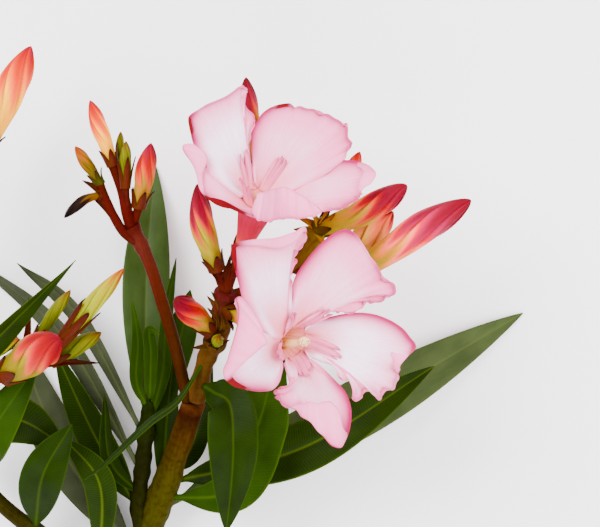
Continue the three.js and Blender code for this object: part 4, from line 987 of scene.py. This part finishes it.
UPPER_PETALS = [
    dict(name="high_left", root=(148, 96), arch=2.4,
         deep=[(0.12, 0.3, 1.0), (0.3, 0.55, 0.35), (0.6, 0.8, 0.3)], red=(0.17, 0.26),
         ruffle=(0.5, 0.9, 0.35), white=0.7, blush=0.6,
         margin=[(240, 199), (222, 187), (206, 173), (199, 155), (194.5, 144.5), (192.5, 137.5),
                 (190, 128.5), (189, 120.5), (191.5, 116.5), (199, 111.5), (208, 106), (216.5, 102.5),
                 (225.5, 98.5), (232.5, 94), (239, 89), (243, 88), (246, 91.5), (245, 94.5), (244, 96.5),
                 (244, 102.5), (245.5, 108.5), (250, 114), (254.5, 120.5), (255.5, 124.5), (252.5, 130),
                 (249.5, 136), (249, 143), (249.5, 152), (250.5, 161), (252, 172.5)],
         turned={6: (193, 129, 0.7), 7: (191.5, 121, 0.8)}),
    dict(name="high_right", root=(96, 34), arch=2.4, deep=[(0.05, 0.38, 0.9), (0.4, 0.82, 0.45)],
         red=(0.27, 0.34), ruffle=(0.4, 0.85, 0.35), white=0.1, blush=0.8,
         margin=[(254.5, 178.5), (252.5, 166.5), (251.5, 155), (251.5, 143), (253, 131.5), (257, 123),
                 (262, 115.5), (269, 110), (276.5, 106.5), (284, 105), (290, 105), (293.5, 108.5),
                 (298, 109), (306, 110.5), (314.5, 111.5), (320.5, 114), (327, 117), (334.5, 121),
                 (341, 125), (346, 125.5), (345.5, 132), (346.5, 140.5), (350, 145.5), (348.5, 149.5),
                 (345.5, 152.5), (343, 159.5), (335, 166.5), (323.5, 175.5), (309, 184), (291.5, 191.5)],
         turned={8: (277, 108.5, 0.6), 9: (284, 107, 0.7), 10: (289, 107, 0.6)}),
    dict(name="right", root=(34, -30), arch=1.8, crown=0.45, deep=[(0.14, 0.45, 1.0), (0.6, 0.86, 0.5)],
         ruffle=(0.55, 0.86, 0.3), white=0.1, blush=0.85, tip=0.3,
         margin=[(276.5, 193.5), (291, 186.5), (304.5, 181), (312.5, 174.5), (319, 169.5), (326.5, 164.5),
                 (335, 161.5), (345.5, 161), (355.5, 162), (363, 163.5), (369, 166.5), (374, 171),
                 (375.5, 174.5), (374, 179), (369, 185), (362, 190), (359.5, 194.5), (357.5, 197.5),
                 (354.5, 200.5), (345.5, 205), (339.5, 209), (332, 210.5), (325, 211), (320, 211),
                 (312, 210.5), (303, 208.5), (290, 206.5)],
         turned={9: (357.5, 166.5, 1.0), 10: (361, 168.5, 1.3), 11: (363, 172, 1.5),
                 12: (361.5, 175.5, 1.6), 13: (359.5, 180, 1.5), 14: (358.5, 185, 1.3),
                 15: (358, 189.5, 0.9)}),
    dict(name="front", root=(-30, -108), arch=0.6, stand=1, crown=0.9, deep=[(0.1, 0.9, 0.2)],
         ruffle=(0.1, 0.9, 0.2), white=0, blush=0.9, tip=0.2,
         margin=[(304.5, 202), (316, 209), (321, 211.5), (316, 215), (307.5, 217), (297, 218),
                 (288.5, 217.5), (281, 218), (273.5, 219.5), (266.5, 220.5), (259, 219), (254, 215.5),
                 (252, 212.5), (253, 207.5)],
         turned={1: (312.5, 205, 0.8), 2: (316, 206.5, 0.8), 3: (311.5, 202, 0.4), 4: (304.5, 197, -0.4),
                 5: (297, 192.5, -1), 6: (289, 188, -1.4), 7: (282.5, 187, -1.6), 8: (276, 188.5, -1.6),
                 9: (269.5, 189.5, -1.4), 10: (263.5, 192, -1), 11: (257.5, 194, -0.6),
                 12: (254.5, 202.5, -0.3)}),
    dict(name="left", root=(-108, -212), arch=0.8, stand=1,
         deep=[(0.02, 0.3, 0.9), (0.35, 0.6, 0.5), (0.7, 0.95, 0.4)], red=(0.03, 0.26),
         ruffle=(0.65, 0.95, 0.35), white=0.1, blush=0.85,
         margin=[(252, 214), (244.5, 214), (237, 211.5), (230, 208.5), (222.5, 207), (215, 204),
                 (209, 199.5), (203.5, 194.5), (200, 188.5), (198, 181.5), (196, 172.5), (192.5, 164.5),
                 (188, 157), (184.5, 151.5), (183, 145.5), (190, 144.5), (197, 146.5), (203.5, 151),
                 (207.5, 156.5), (207.5, 161.5), (206, 165.5), (207.5, 171), (214, 177), (223, 184.5),
                 (231.5, 188), (238.5, 196), (243.5, 202.5)],
         turned={1: (244.5, 211.5, 0.8), 2: (237, 207.5, 0.9), 3: (230, 203.5, 1.0), 4: (222.5, 200, 1.0),
                 5: (215, 198, 1.0), 6: (209.5, 197, 1.0), 7: (206, 194.5, 1.0), 8: (204, 191, 1.0),
                 9: (203, 183, 1.2), 10: (202.5, 174, 1.3), 11: (205.5, 166, 1.4), 12: (207, 161, 1.5),
                 13: (207, 156.5, 1.5), 14: (203, 151, 1.3), 15: (197, 147, 1.0)}),
]

# Blooms: the twig, the middle of the throat, the lift, tilt and lean that say how steeply the petals rise,
# in degrees, the length of the crown scales, and the anthers' cone, as places in the view and how far
# each rises over the throat
BLOOMS = {
    "bloom_lower": dict(twig="lower_twig", throat=(16.1, -4.8, 55), lift=20, tilt=28, lean=0, crown=8.0,
                        cone=[(281, 343, -2.5), (290, 343, 0.5), (301, 342, 3)], petals=LOWER_PETALS),
    "bloom_upper": dict(twig="upper_twig", throat=(7.7, 29.3, 55), lift=22, tilt=52, lean=77, crown=8.5,
                        cone=[(258, 204, -7), (259, 202, -5), (260, 199, -3.2)], petals=UPPER_PETALS),
}

THROAT_RADIUS = 4.7
RIM_RADIUS = THROAT_RADIUS - 0.35
CROWN_RADIUS = THROAT_RADIUS - 0.9
CROWN_GRID = (26, 61)
CROWN_TEETH = 3
CROWN_THICKNESS = 0.22
CALYX_GIRTH = 6.2
CALYX_LENGTH = 5.0
PETAL_ROWS = (5, 38, 20)
PETAL_COLUMNS = 160
PETAL_THICKNESS = 0.3
STRETCH_EASE = 0.04
MARGIN_STEPS = 760

# How far down inside the rim a petal starts
PETAL_DEPTH = 2.2

# A margin that isn't folded over ends in a hem: how far out of it and how far below it the free edge is
HEM_REACH = 0.08
HEM_DROP = 0.25

# Bows: the shares of the way that count, the least that an overshoot is divided by, the columns over
# which it eases, and the largest turn in radians
BOWED_SHARES = (0.2, 0.86)
LEAST_BOW = 0.2
BOW_EASE = 13.5
LARGEST_TURN = 0.45

# The tube: how far along it, and its radius there. Its inner wall goes back down from the rim
TUBE = [(0, 1.3), (0.12, 1.7), (0.45, 2.7), (0.75, 3.9), (1, THROAT_RADIUS)]
TUBE_SIDES = 48
OUTER_ROWS = 40
INNER_ROWS = 26
INNER_FOOT = 0.8

# A petal's curves have six places, so its foot on the rim and its margin are these shares of the way
FOOT_AT = 0.2
EDGE_AT = 0.8

# Colours along the tube, down its inner wall, along anthers and along their tails
TUBE_COLOURS = [(0, OLIVE), (0.14, LEMON), (0.28, shade(232, 170, 130)), (0.42, shade(228, 106, 128)),
                (0.7, shade(226, 86, 126)), (1, shade(234, 130, 164))]
THROAT_COLOURS = [(INNER_FOOT, THROAT_ORANGE), (0.9, THROAT_PEACH), (1, THROAT_GLOW)]
ANTHER_COLOURS = [(0, shade(226, 186, 130)), (0.5, shade(232, 216, 180)), (1, shade(234, 226, 208))]
TAIL_COLOURS = [(0, shade(232, 220, 190)), (1, shade(234, 226, 212))]

# An anther's tail: how far it winds, how far out it is and how far past the cone, at its four places
TAIL_WIND = np.array([0, 1.1, 2.2, 3.0])
TAIL_OUT = np.array([0.35, 0.95, 1.05, 0.5])
TAIL_AHEAD = np.array([-0.5, 0.4, 1.2, 1.9])


def rim_place(bloom, bearing, radius=RIM_RADIUS):
    """A place on the throat's rim: the level spoke at a bearing, leant to be square to the tube."""
    along = bloom["along"]
    level = np.stack([np.cos(bearing), np.sin(bearing), 0 * bearing], axis=-1)
    spoke = unit(level - UP * (level @ along / along[2])[..., None])
    return bloom["throat"] + spoke * radius


def root_bearing(petal, share):
    """The bearing on the throat's rim at a share of a petal's root."""
    return np.radians(lerp(*petal["root"], share))


def margin_place(bloom, u, v):
    """A place of a petal's margin: seen at u, v, and as high over the throat as its reach times the
    tangent of the bloom's lift less its tilt times the cosine of the bearing from its lean. Since
    what is seen at u, v depends on the height, four rounds bring the two together."""
    height = bloom["throat"][2]
    for _ in range(4):
        x, y = (seen(u, v, height) - bloom["throat"])[:2]
        slope = bloom["lift"] - bloom["tilt"] * np.cos(np.arctan2(y, x) - np.radians(bloom["lean"]))
        height = bloom["throat"][2] + np.hypot(x, y) * np.tan(np.radians(slope))
    return seen(u, v, height)


def margin_places(bloom, petal):
    """The places of a petal's margin."""
    return np.array([margin_place(bloom, u, v) for u, v in petal["margin"]])


def windows(s, stretches):
    """A mask along a margin that is as strong as each stretch says between its two ends."""
    mask = 0 * s
    for start, stop, strength in stretches:
        opened = smooth(start - STRETCH_EASE, start + STRETCH_EASE, s)
        closed = smooth(stop - STRETCH_EASE, stop + STRETCH_EASE, s)
        mask = np.maximum(mask, strength * opened * (1 - closed))
    return mask


def bowed_in(surface, share, margin, centre):
    """A sheet whose rows bow sideways so that, seen from above, none leaves the petal's margin on its way
    there. Each row turns about the throat by an angle times 4x(1 - x), x being the share of the way. The
    angle is what the row overshoots the flank of the margin by, eased over its neighbours by a bell curve."""
    def polar(places):
        offset = places[..., :2] - centre[:2]
        return np.hypot(offset[..., 0], offset[..., 1]), np.arctan2(offset[..., 1], offset[..., 0])

    edge_reach, edge_angle = polar(margin)
    middle = polar(margin.mean(axis=0))[1]
    reach, angle = polar(surface)
    edge_angle = (edge_angle - middle + np.pi) % (2 * np.pi) - np.pi
    angle = (angle - middle + np.pi) % (2 * np.pi) - np.pi
    tip = edge_reach.argmax()
    high = np.interp(reach, np.maximum.accumulate(edge_reach[:tip + 1]), edge_angle[:tip + 1])
    low = np.interp(reach, np.maximum.accumulate(edge_reach[:tip - 1:-1]), edge_angle[:tip - 1:-1])
    bow = np.maximum(4 * share * (1 - share), 0)
    counted = (share > BOWED_SHARES[0]) & (share < BOWED_SHARES[1])
    columns = np.arange(surface.shape[1])
    ease = np.exp(-((columns[:, None] - columns[None]) / BOW_EASE) ** 2)
    turn = 0
    for overshoot, way in ((angle - high, -1), (low - angle, 1)):
        need = np.where(counted, np.maximum(overshoot, 0) / np.maximum(bow, LEAST_BOW), 0).max(axis=0)
        turn = turn + way * (ease * np.minimum(need, LARGEST_TURN)[None]).max(axis=1)[None] * bow
    x, y = surface[..., 0] - centre[0], surface[..., 1] - centre[1]
    return np.stack([centre[0] + x * np.cos(turn) - y * np.sin(turn),
                     centre[1] + x * np.sin(turn) + y * np.cos(turn), surface[..., 2]], axis=-1)


def margin_distance(surface, margin):
    """How far each point of a sheet is from its margin, and which share of the margin is nearest."""
    s = np.linspace(0, 1, MARGIN_STEPS)
    edge = spline(margin, s)
    points = surface.reshape(-1, 3)
    square = np.sum(points ** 2, axis=1)[:, None] + np.sum(edge ** 2, axis=1)[None] - 2 * points @ edge.T
    nearest = square.argmin(axis=1)
    gap = np.sqrt(np.maximum(square[np.arange(len(points)), nearest], 0))
    return gap.reshape(surface.shape[:2]), s[nearest].reshape(surface.shape[:2])


def petal_knots(bloom, petal, margin, s):
    """The six places that a petal's curves pass, for every share s of its margin: inside the tube's rim,
    on the rim, two on an arch that aim at a smoothed margin, the margin, and the free edge. Where the
    margin isn't folded over, the free edge is just past it and below it."""
    foot = rim_place(bloom, root_bearing(petal, np.linspace(0, 1, len(margin))))
    turned = margin + HEM_REACH * unit(margin - foot) - HEM_DROP * UP
    for k, (u, v, rise) in petal.get("turned", {}).items():
        turned[k] = seen(u, v, margin[k][2] + rise)
    soft = margin.copy()
    for _ in range(4):
        soft[1:-1] = (soft[:-2] + 2 * soft[1:-1] + soft[2:]) / 4
    foot = rim_place(bloom, root_bearing(petal, s))
    edge, inner, free = spline(margin, s), spline(soft, s), spline(turned, s)
    bulge = UP * (petal["arch"] * (0.35 + 0.65 * np.sin(np.pi * s) ** 0.5))[:, None]
    sideways = unit(np.cross(inner - foot, bloom["along"])) * (0.5 * (2 * s - 1))[:, None]
    return np.stack([
        foot - PETAL_DEPTH * bloom["along"],
        foot,
        lerp(foot, inner, 0.36) + bulge + sideways,
        lerp(foot, lerp(inner, edge, 0.5), 0.72) + 0.7 * bulge + 0.8 * sideways,
        edge,
        free,
    ])


def ruffled(surface, petal, along, s, share):
    """A petal's sheet with waves square to it: two sines along the stretch of margin that ruffles, and
    slow pleats all along."""
    normal = normals(surface)
    normal = normal * np.sign(np.sum(normal * along, axis=-1, keepdims=True).mean())
    start, stop, height = petal["ruffle"]
    near = smooth(0.45, 1.0, share) * windows(s, [(start, stop, 1.0)])[None]
    wave = np.sin(2 * np.pi * 7 * s + 1.3) + 0.6 * np.sin(2 * np.pi * 15 * s + 0.4)
    ruffle = height * near * wave[None]
    pleat = 0.16 * np.sin(np.pi * np.minimum(share, 1)) * np.sin(2 * np.pi * 2.5 * s + 0.7)[None]
    return surface + normal * (ruffle + pleat)[..., None]


def petal_tints(petal, s, share, reach, nearest, flap):
    """A petal's colours above and below: pale in the middle, glowing at the foot, and darker towards its
    margin, by exponentials of how far each point is from it."""
    deep = windows(nearest, petal["deep"])
    cloud = smooth(0.2, 0.9, np.sin(2 * np.pi * 1.5 * s + 0.8))[None] * smooth(0.2, 0.7, share)
    pink = petal["blush"] + 0.5 * np.exp(-share / 0.2) + petal.get("tip", 0.35) * smooth(0.45, 1.0, share)
    pink = pink + 0.2 * cloud - petal["white"] * np.exp(-((share - 0.52) / 0.24) ** 2)
    base = mixed(PETAL_WHITE, PETAL_PINK, pink)
    base = mixed(base, PETAL_ROSE, 0.35 * smooth(1.0, 1.4, pink) + 0.4 * deep * np.exp(-reach / 4))
    base = mixed(base, THROAT_GLOW, 0.85 * np.exp(-(share / 0.22) ** 2))
    line = np.exp(-reach / 0.32) * (0.3 + 0.7 * deep) * smooth(0.05, 0.3, share)
    over = mixed(mixed(base, PETAL_DEEP, deep * np.exp(-(reach / 1.5) ** 1.5)), PETAL_DEEP, line)
    under = mixed(PETAL_UNDER, PETAL_ROSE, 0.25 + 0.3 * smooth(1.2, 1.0, share))
    under = mixed(under, PETAL_DEEP, 0.6 * deep * np.exp(-reach / 1.8) + 0.7 * line)
    hem = np.exp(-flap * np.maximum(4 / 3 - share, 0) * 3 / 0.3) * smooth(1.0, 1.1, share)
    under = mixed(under, PETAL_DEEP, 0.35 * hem)
    if "red" in petal:
        stretch = windows(nearest, [(*petal["red"], 1.0)])
        under = mixed(under, PETAL_RED, 1.5 * stretch * smooth(0.97, 1.02, share))
        over = mixed(over, PETAL_RED, 0.9 * stretch * np.exp(-reach / 0.4))
    return over, under


def petal_piece(bloom, bloom_name, petal):
    """One petal: Catmull-Rom curves both ways, bowed in and ruffled. The share of the way is 0 on the
    tube's rim, 1 on the margin, and 4/3 on the free edge where the margin is folded over."""
    s = np.linspace(0, 1, PETAL_COLUMNS)
    t = np.concatenate([
        np.linspace(0, FOOT_AT, PETAL_ROWS[0], endpoint=False),
        np.linspace(FOOT_AT, EDGE_AT, PETAL_ROWS[1], endpoint=False),
        np.linspace(EDGE_AT, 1, PETAL_ROWS[2]),
    ])
    share = np.maximum((t - FOOT_AT) / (EDGE_AT - FOOT_AT), 0)[:, None]
    along = bloom["along"]
    margin = margin_places(bloom, petal)
    knots = petal_knots(bloom, petal, margin, s)
    surface = bowed_in(spline(knots, t), share, margin, bloom["throat"])
    near_margin, nearest = margin_distance(surface, margin)
    flap = np.linalg.norm(knots[5] - knots[4], axis=1)[None]
    reach = np.where(share < 1, near_margin, flap * (share - 1) * 3)
    nearest = np.where(share < 1, nearest, s[None])
    surface = ruffled(surface, petal, along, s, share)
    tints = petal_tints(petal, s, share, reach, nearest, flap)
    facing = np.sum(crossed(surface) @ along) > 0
    width = np.linalg.norm(np.gradient(surface, axis=1), axis=-1).cumsum(axis=1).max(axis=0)
    pattern = paired(width[None] / CENTIMETRE, 2.5 * share)
    thickness = PETAL_THICKNESS * lerp(1, 0.45, smooth(0.6, 1.0, share))
    skin = Skin()
    skin.sheet(surface, thickness, pattern, *(tints if facing else tints[::-1]))
    skin.piece(f"{bloom_name}_petal_{petal['name']}", [PETAL_SKIN], bloom_name)


def fringe_piece(bloom, bloom_name):
    """The crown in the throat: on each petal's foot a scale, cut at its end into blunt teeth by a folded
    saw, that leans off the petal, or stands up along the tube where the petal says so."""
    skin = Skin()
    rows, columns = CROWN_GRID
    s = np.linspace(0, 1, columns)
    share = np.linspace(0, 1, rows)[:, None]
    along = bloom["along"]
    for petal in bloom["petals"]:
        margin = margin_places(bloom, petal)
        foot = rim_place(bloom, root_bearing(petal, lerp(0.1, 0.9, s)), CROWN_RADIUS)
        fanned = unit(spline(margin, lerp(0.16, 0.84, s)) - foot)
        outward = unit(lerp(fanned, unit(margin.mean(axis=0) - foot), 0.75))
        phase = rng.uniform(0, 1)
        comb = 1 - np.abs(2 * ((CROWN_TEETH * s + 0.12 * np.sin(7 * s + 6 * phase)) % 1) - 1)
        long = bloom["crown"] * petal.get("crown", 1.0) * (0.68 + 0.32 * np.minimum(1.8 * comb, 1) ** 0.7)
        long = long * (0.76 + 0.24 * np.sin(np.pi * s) ** 0.7) * rng.uniform(0.97, 1.03, columns)
        stand = petal.get("stand", 0.0)
        lean = lerp(0.62, 1.1, stand) + 0.1 * np.sin(2 * np.pi * (2 * s + phase))
        rise = lean[None] * long[None] * share * (1 - 0.45 * share)
        rise = rise + 0.3 * np.sin(2 * np.pi * CROWN_TEETH * s)[None] * share
        out = lerp(0.95, 0.3, stand) * long[None] * share
        strip = foot[None] + outward[None] * out[..., None] + along * rise[..., None]
        lines = (0.5 + 0.5 * np.cos(2 * np.pi * CROWN_TEETH * s)[None]) ** 3
        tint = mixed(CROWN_PINK, PETAL_DEEP, 0.36 * lines * (1 - 0.3 * share) + 0.5 * smooth(0.78, 1, share))
        tint = mixed(tint, THROAT_GLOW, 0.7 * (1 - smooth(0, 0.4, share)))
        skin.sheet(strip, CROWN_THICKNESS, paired(0.7 * s[None], 0.7 * share), tint, tint)
    skin.piece(f"{bloom_name}_fringe", [FRINGE_SKIN], bloom_name)


def tube_piece(bloom, bloom_name):
    """The corolla tube, out along its radii, over the rim and down the throat's inner wall, with the
    calyx at its foot."""
    outer_at = np.linspace(0, 1, OUTER_ROWS)
    inner_at = np.linspace(1, INNER_FOOT, INNER_ROWS)
    inner = 0.8 + (THROAT_RADIUS - 1.55) * ((inner_at - INNER_FOOT) / (1 - INNER_FOOT)) ** 0.8
    path = np.concatenate([outer_at, inner_at])
    radius = np.concatenate([np.interp(outer_at, *zip(*TUBE)), inner])
    inside = np.repeat([0, 1], [OUTER_ROWS, INNER_ROWS])
    angle = round_angles(TUBE_SIDES)
    place, _, side, face = carried(bloom["curve"], path)
    ribs = 1 + 0.03 * np.cos(LOBES * angle)[None]
    rings = place[:, None] + (radius[:, None] * ribs)[..., None] * spokes(angle, side, face)
    tint = mixed(ramp(TUBE_COLOURS, path), ramp(THROAT_COLOURS, path), inside)
    streak = 0.5 + 0.5 * np.cos(15 * angle)[None]
    tint = mixed(over_columns(tint, TUBE_SIDES), ROSE, 0.3 * streak * smooth(0.3, 0.7, path)[:, None])
    skin = Skin()
    skin.tube(rings, paired(0.4 * angle[None], 2.2 * path[:, None]), tint)
    length = np.linalg.norm(bloom["curve"][-1] - bloom["curve"][0])
    sepal_skin(skin, bloom["curve"], length, CALYX_GIRTH, CALYX_LENGTH, BROWN_RED)
    skin.piece(f"{bloom_name}_tube", [BUD_SKIN, SEPAL_SKIN], bloom_name)


def anther_piece(bloom, bloom_name):
    """Five anthers leant into a cone, each a spindle on a curve of its own round the cone's curve, whose
    feathered tails are wound into a loose tuft at the tip."""
    skin = Skin()
    core = np.array([seen(u, v, bloom["throat"][2] + rise) for u, v, rise in bloom["cone"]])
    t = np.linspace(0, 1, 40)
    _, _, side, face = carried(core, t)
    spread = lerp(1.15, 0.42, t) * (1 - 0.3 * t)
    for turn in round_angles(LOBES):
        spoke = np.cos(turn) * side + np.sin(turn) * face
        places = (spline(core, t) + spread[:, None] * spoke)[::6]
        rings, pattern, along = limb_rings(places, (1, 1), sides=12, rows_per_span=6)
        centre = spline(places, along)[:, None]
        girth = 0.62 * np.sin(np.pi * lerp(0.12, 0.96, along)) ** 0.6
        rings = centre + (rings - centre) * girth[:, None, None]
        skin.tube(rings, pattern, over_columns(ramp(ANTHER_COLOURS, along), rings.shape[1]))
        for j in range(3):
            wind = turn + 0.7 * j + TAIL_WIND
            out = TAIL_OUT * (1 - 0.15 * j)
            ahead = TAIL_AHEAD + 0.35 * j
            tail = core[-1] + out[:, None] * spokes(wind, side[-1:], face[-1:])[0] \
                + ahead[:, None] * unit(core[-1] - core[-2])
            rings, pattern, along = limb_rings(tail, (0.34, 0.14), sides=8, rows_per_span=6)
            skin.tube(rings, pattern, over_columns(ramp(TAIL_COLOURS, along), rings.shape[1]))
    skin.piece(f"{bloom_name}_anthers", [ANTHER_SKIN], bloom_name)


def bloom_pieces(name, bloom):
    """Everything of one open bloom."""
    bloom["throat"] = np.array(bloom["throat"], float)
    bloom["curve"] = np.vstack([curves[bloom["twig"]][-1], bloom["throat"]])
    bloom["along"] = unit(bloom["throat"] - bloom["curve"][0])
    tube_piece(bloom, name)
    for petal in bloom["petals"]:
        petal_piece(bloom, name, petal)
    fringe_piece(bloom, name)
    anther_piece(bloom, name)


# The branch

for root in LIMBS:
    limb_piece(root)
for name, leaf in LEAVES.items():
    leaf_piece(name, *leaf)
for name, bud in BUDS.items():
    bud_piece(name, *bud)
for name, bloom in BLOOMS.items():
    bloom_pieces(name, bloom)


# Floor, light and camera, in metres

FLOOR_REACH = 6.0
FLOOR_COLOUR = (0.95, 0.93, 0.94, 1)
SKY_COLOUR = (1.0, 0.985, 0.99, 1)
SKY_STRENGTH = 0.84

# Lamps: the place, the place it shines at, the width and the watts
LAMPS = {
    "window": ((-1.0, 0.9, 1.5), (0, 0, 0), 1.3, 112),
    "fill": ((1.2, 0.3, 1.3), (0, 0, 0), 1.5, 64),
    "front": ((0.1, -1.4, 1.1), (0, 0, 0.03), 1.3, 55),
}


def floor():
    """A flat pale sheet under the branch."""
    corners = [(x * FLOOR_REACH, y * FLOOR_REACH, 0) for x, y in ((-1, -1), (1, -1), (1, 1), (-1, 1))]
    mesh = bpy.data.meshes.new("floor")
    mesh.from_pydata(corners, [], [(0, 1, 2, 3)])
    made = bpy.data.objects.new("floor", mesh)
    bpy.context.scene.collection.objects.link(made)
    pale = bpy.data.materials.new("floor_paint")
    pale.use_nodes = True
    principled = pale.node_tree.nodes["Principled BSDF"]
    principled.inputs["Base Color"].default_value = FLOOR_COLOUR
    principled.inputs["Roughness"].default_value = 0.9
    mesh.materials.append(pale)


def lamp(name, place, aim, size, watts):
    """A square soft light at a place, turned to shine at another."""
    light = bpy.data.lights.new(name, "AREA")
    light.size = size
    light.energy = watts
    made = bpy.data.objects.new(name, light)
    bpy.context.scene.collection.objects.link(made)
    made.location = place
    direction = Vector(np.subtract(aim, place))
    made.rotation_euler = direction.to_track_quat("-Z", "Y").to_euler()


floor()
for name, given in LAMPS.items():
    lamp(name, *given)
world = bpy.data.worlds.new("studio")
world.use_nodes = True
world.node_tree.nodes["Background"].inputs["Color"].default_value = SKY_COLOUR
world.node_tree.nodes["Background"].inputs["Strength"].default_value = SKY_STRENGTH
bpy.context.scene.world = world

camera_data = bpy.data.cameras.new("camera")
camera_data.lens = LENS_MM
camera_data.sensor_width = SENSOR_MM
camera_data.clip_start = 0.05
camera_data.clip_end = 50
camera = bpy.data.objects.new("camera", camera_data)
bpy.context.scene.collection.objects.link(camera)
camera.location = (EYE - SHIFT) * METRE
bpy.context.scene.camera = camera
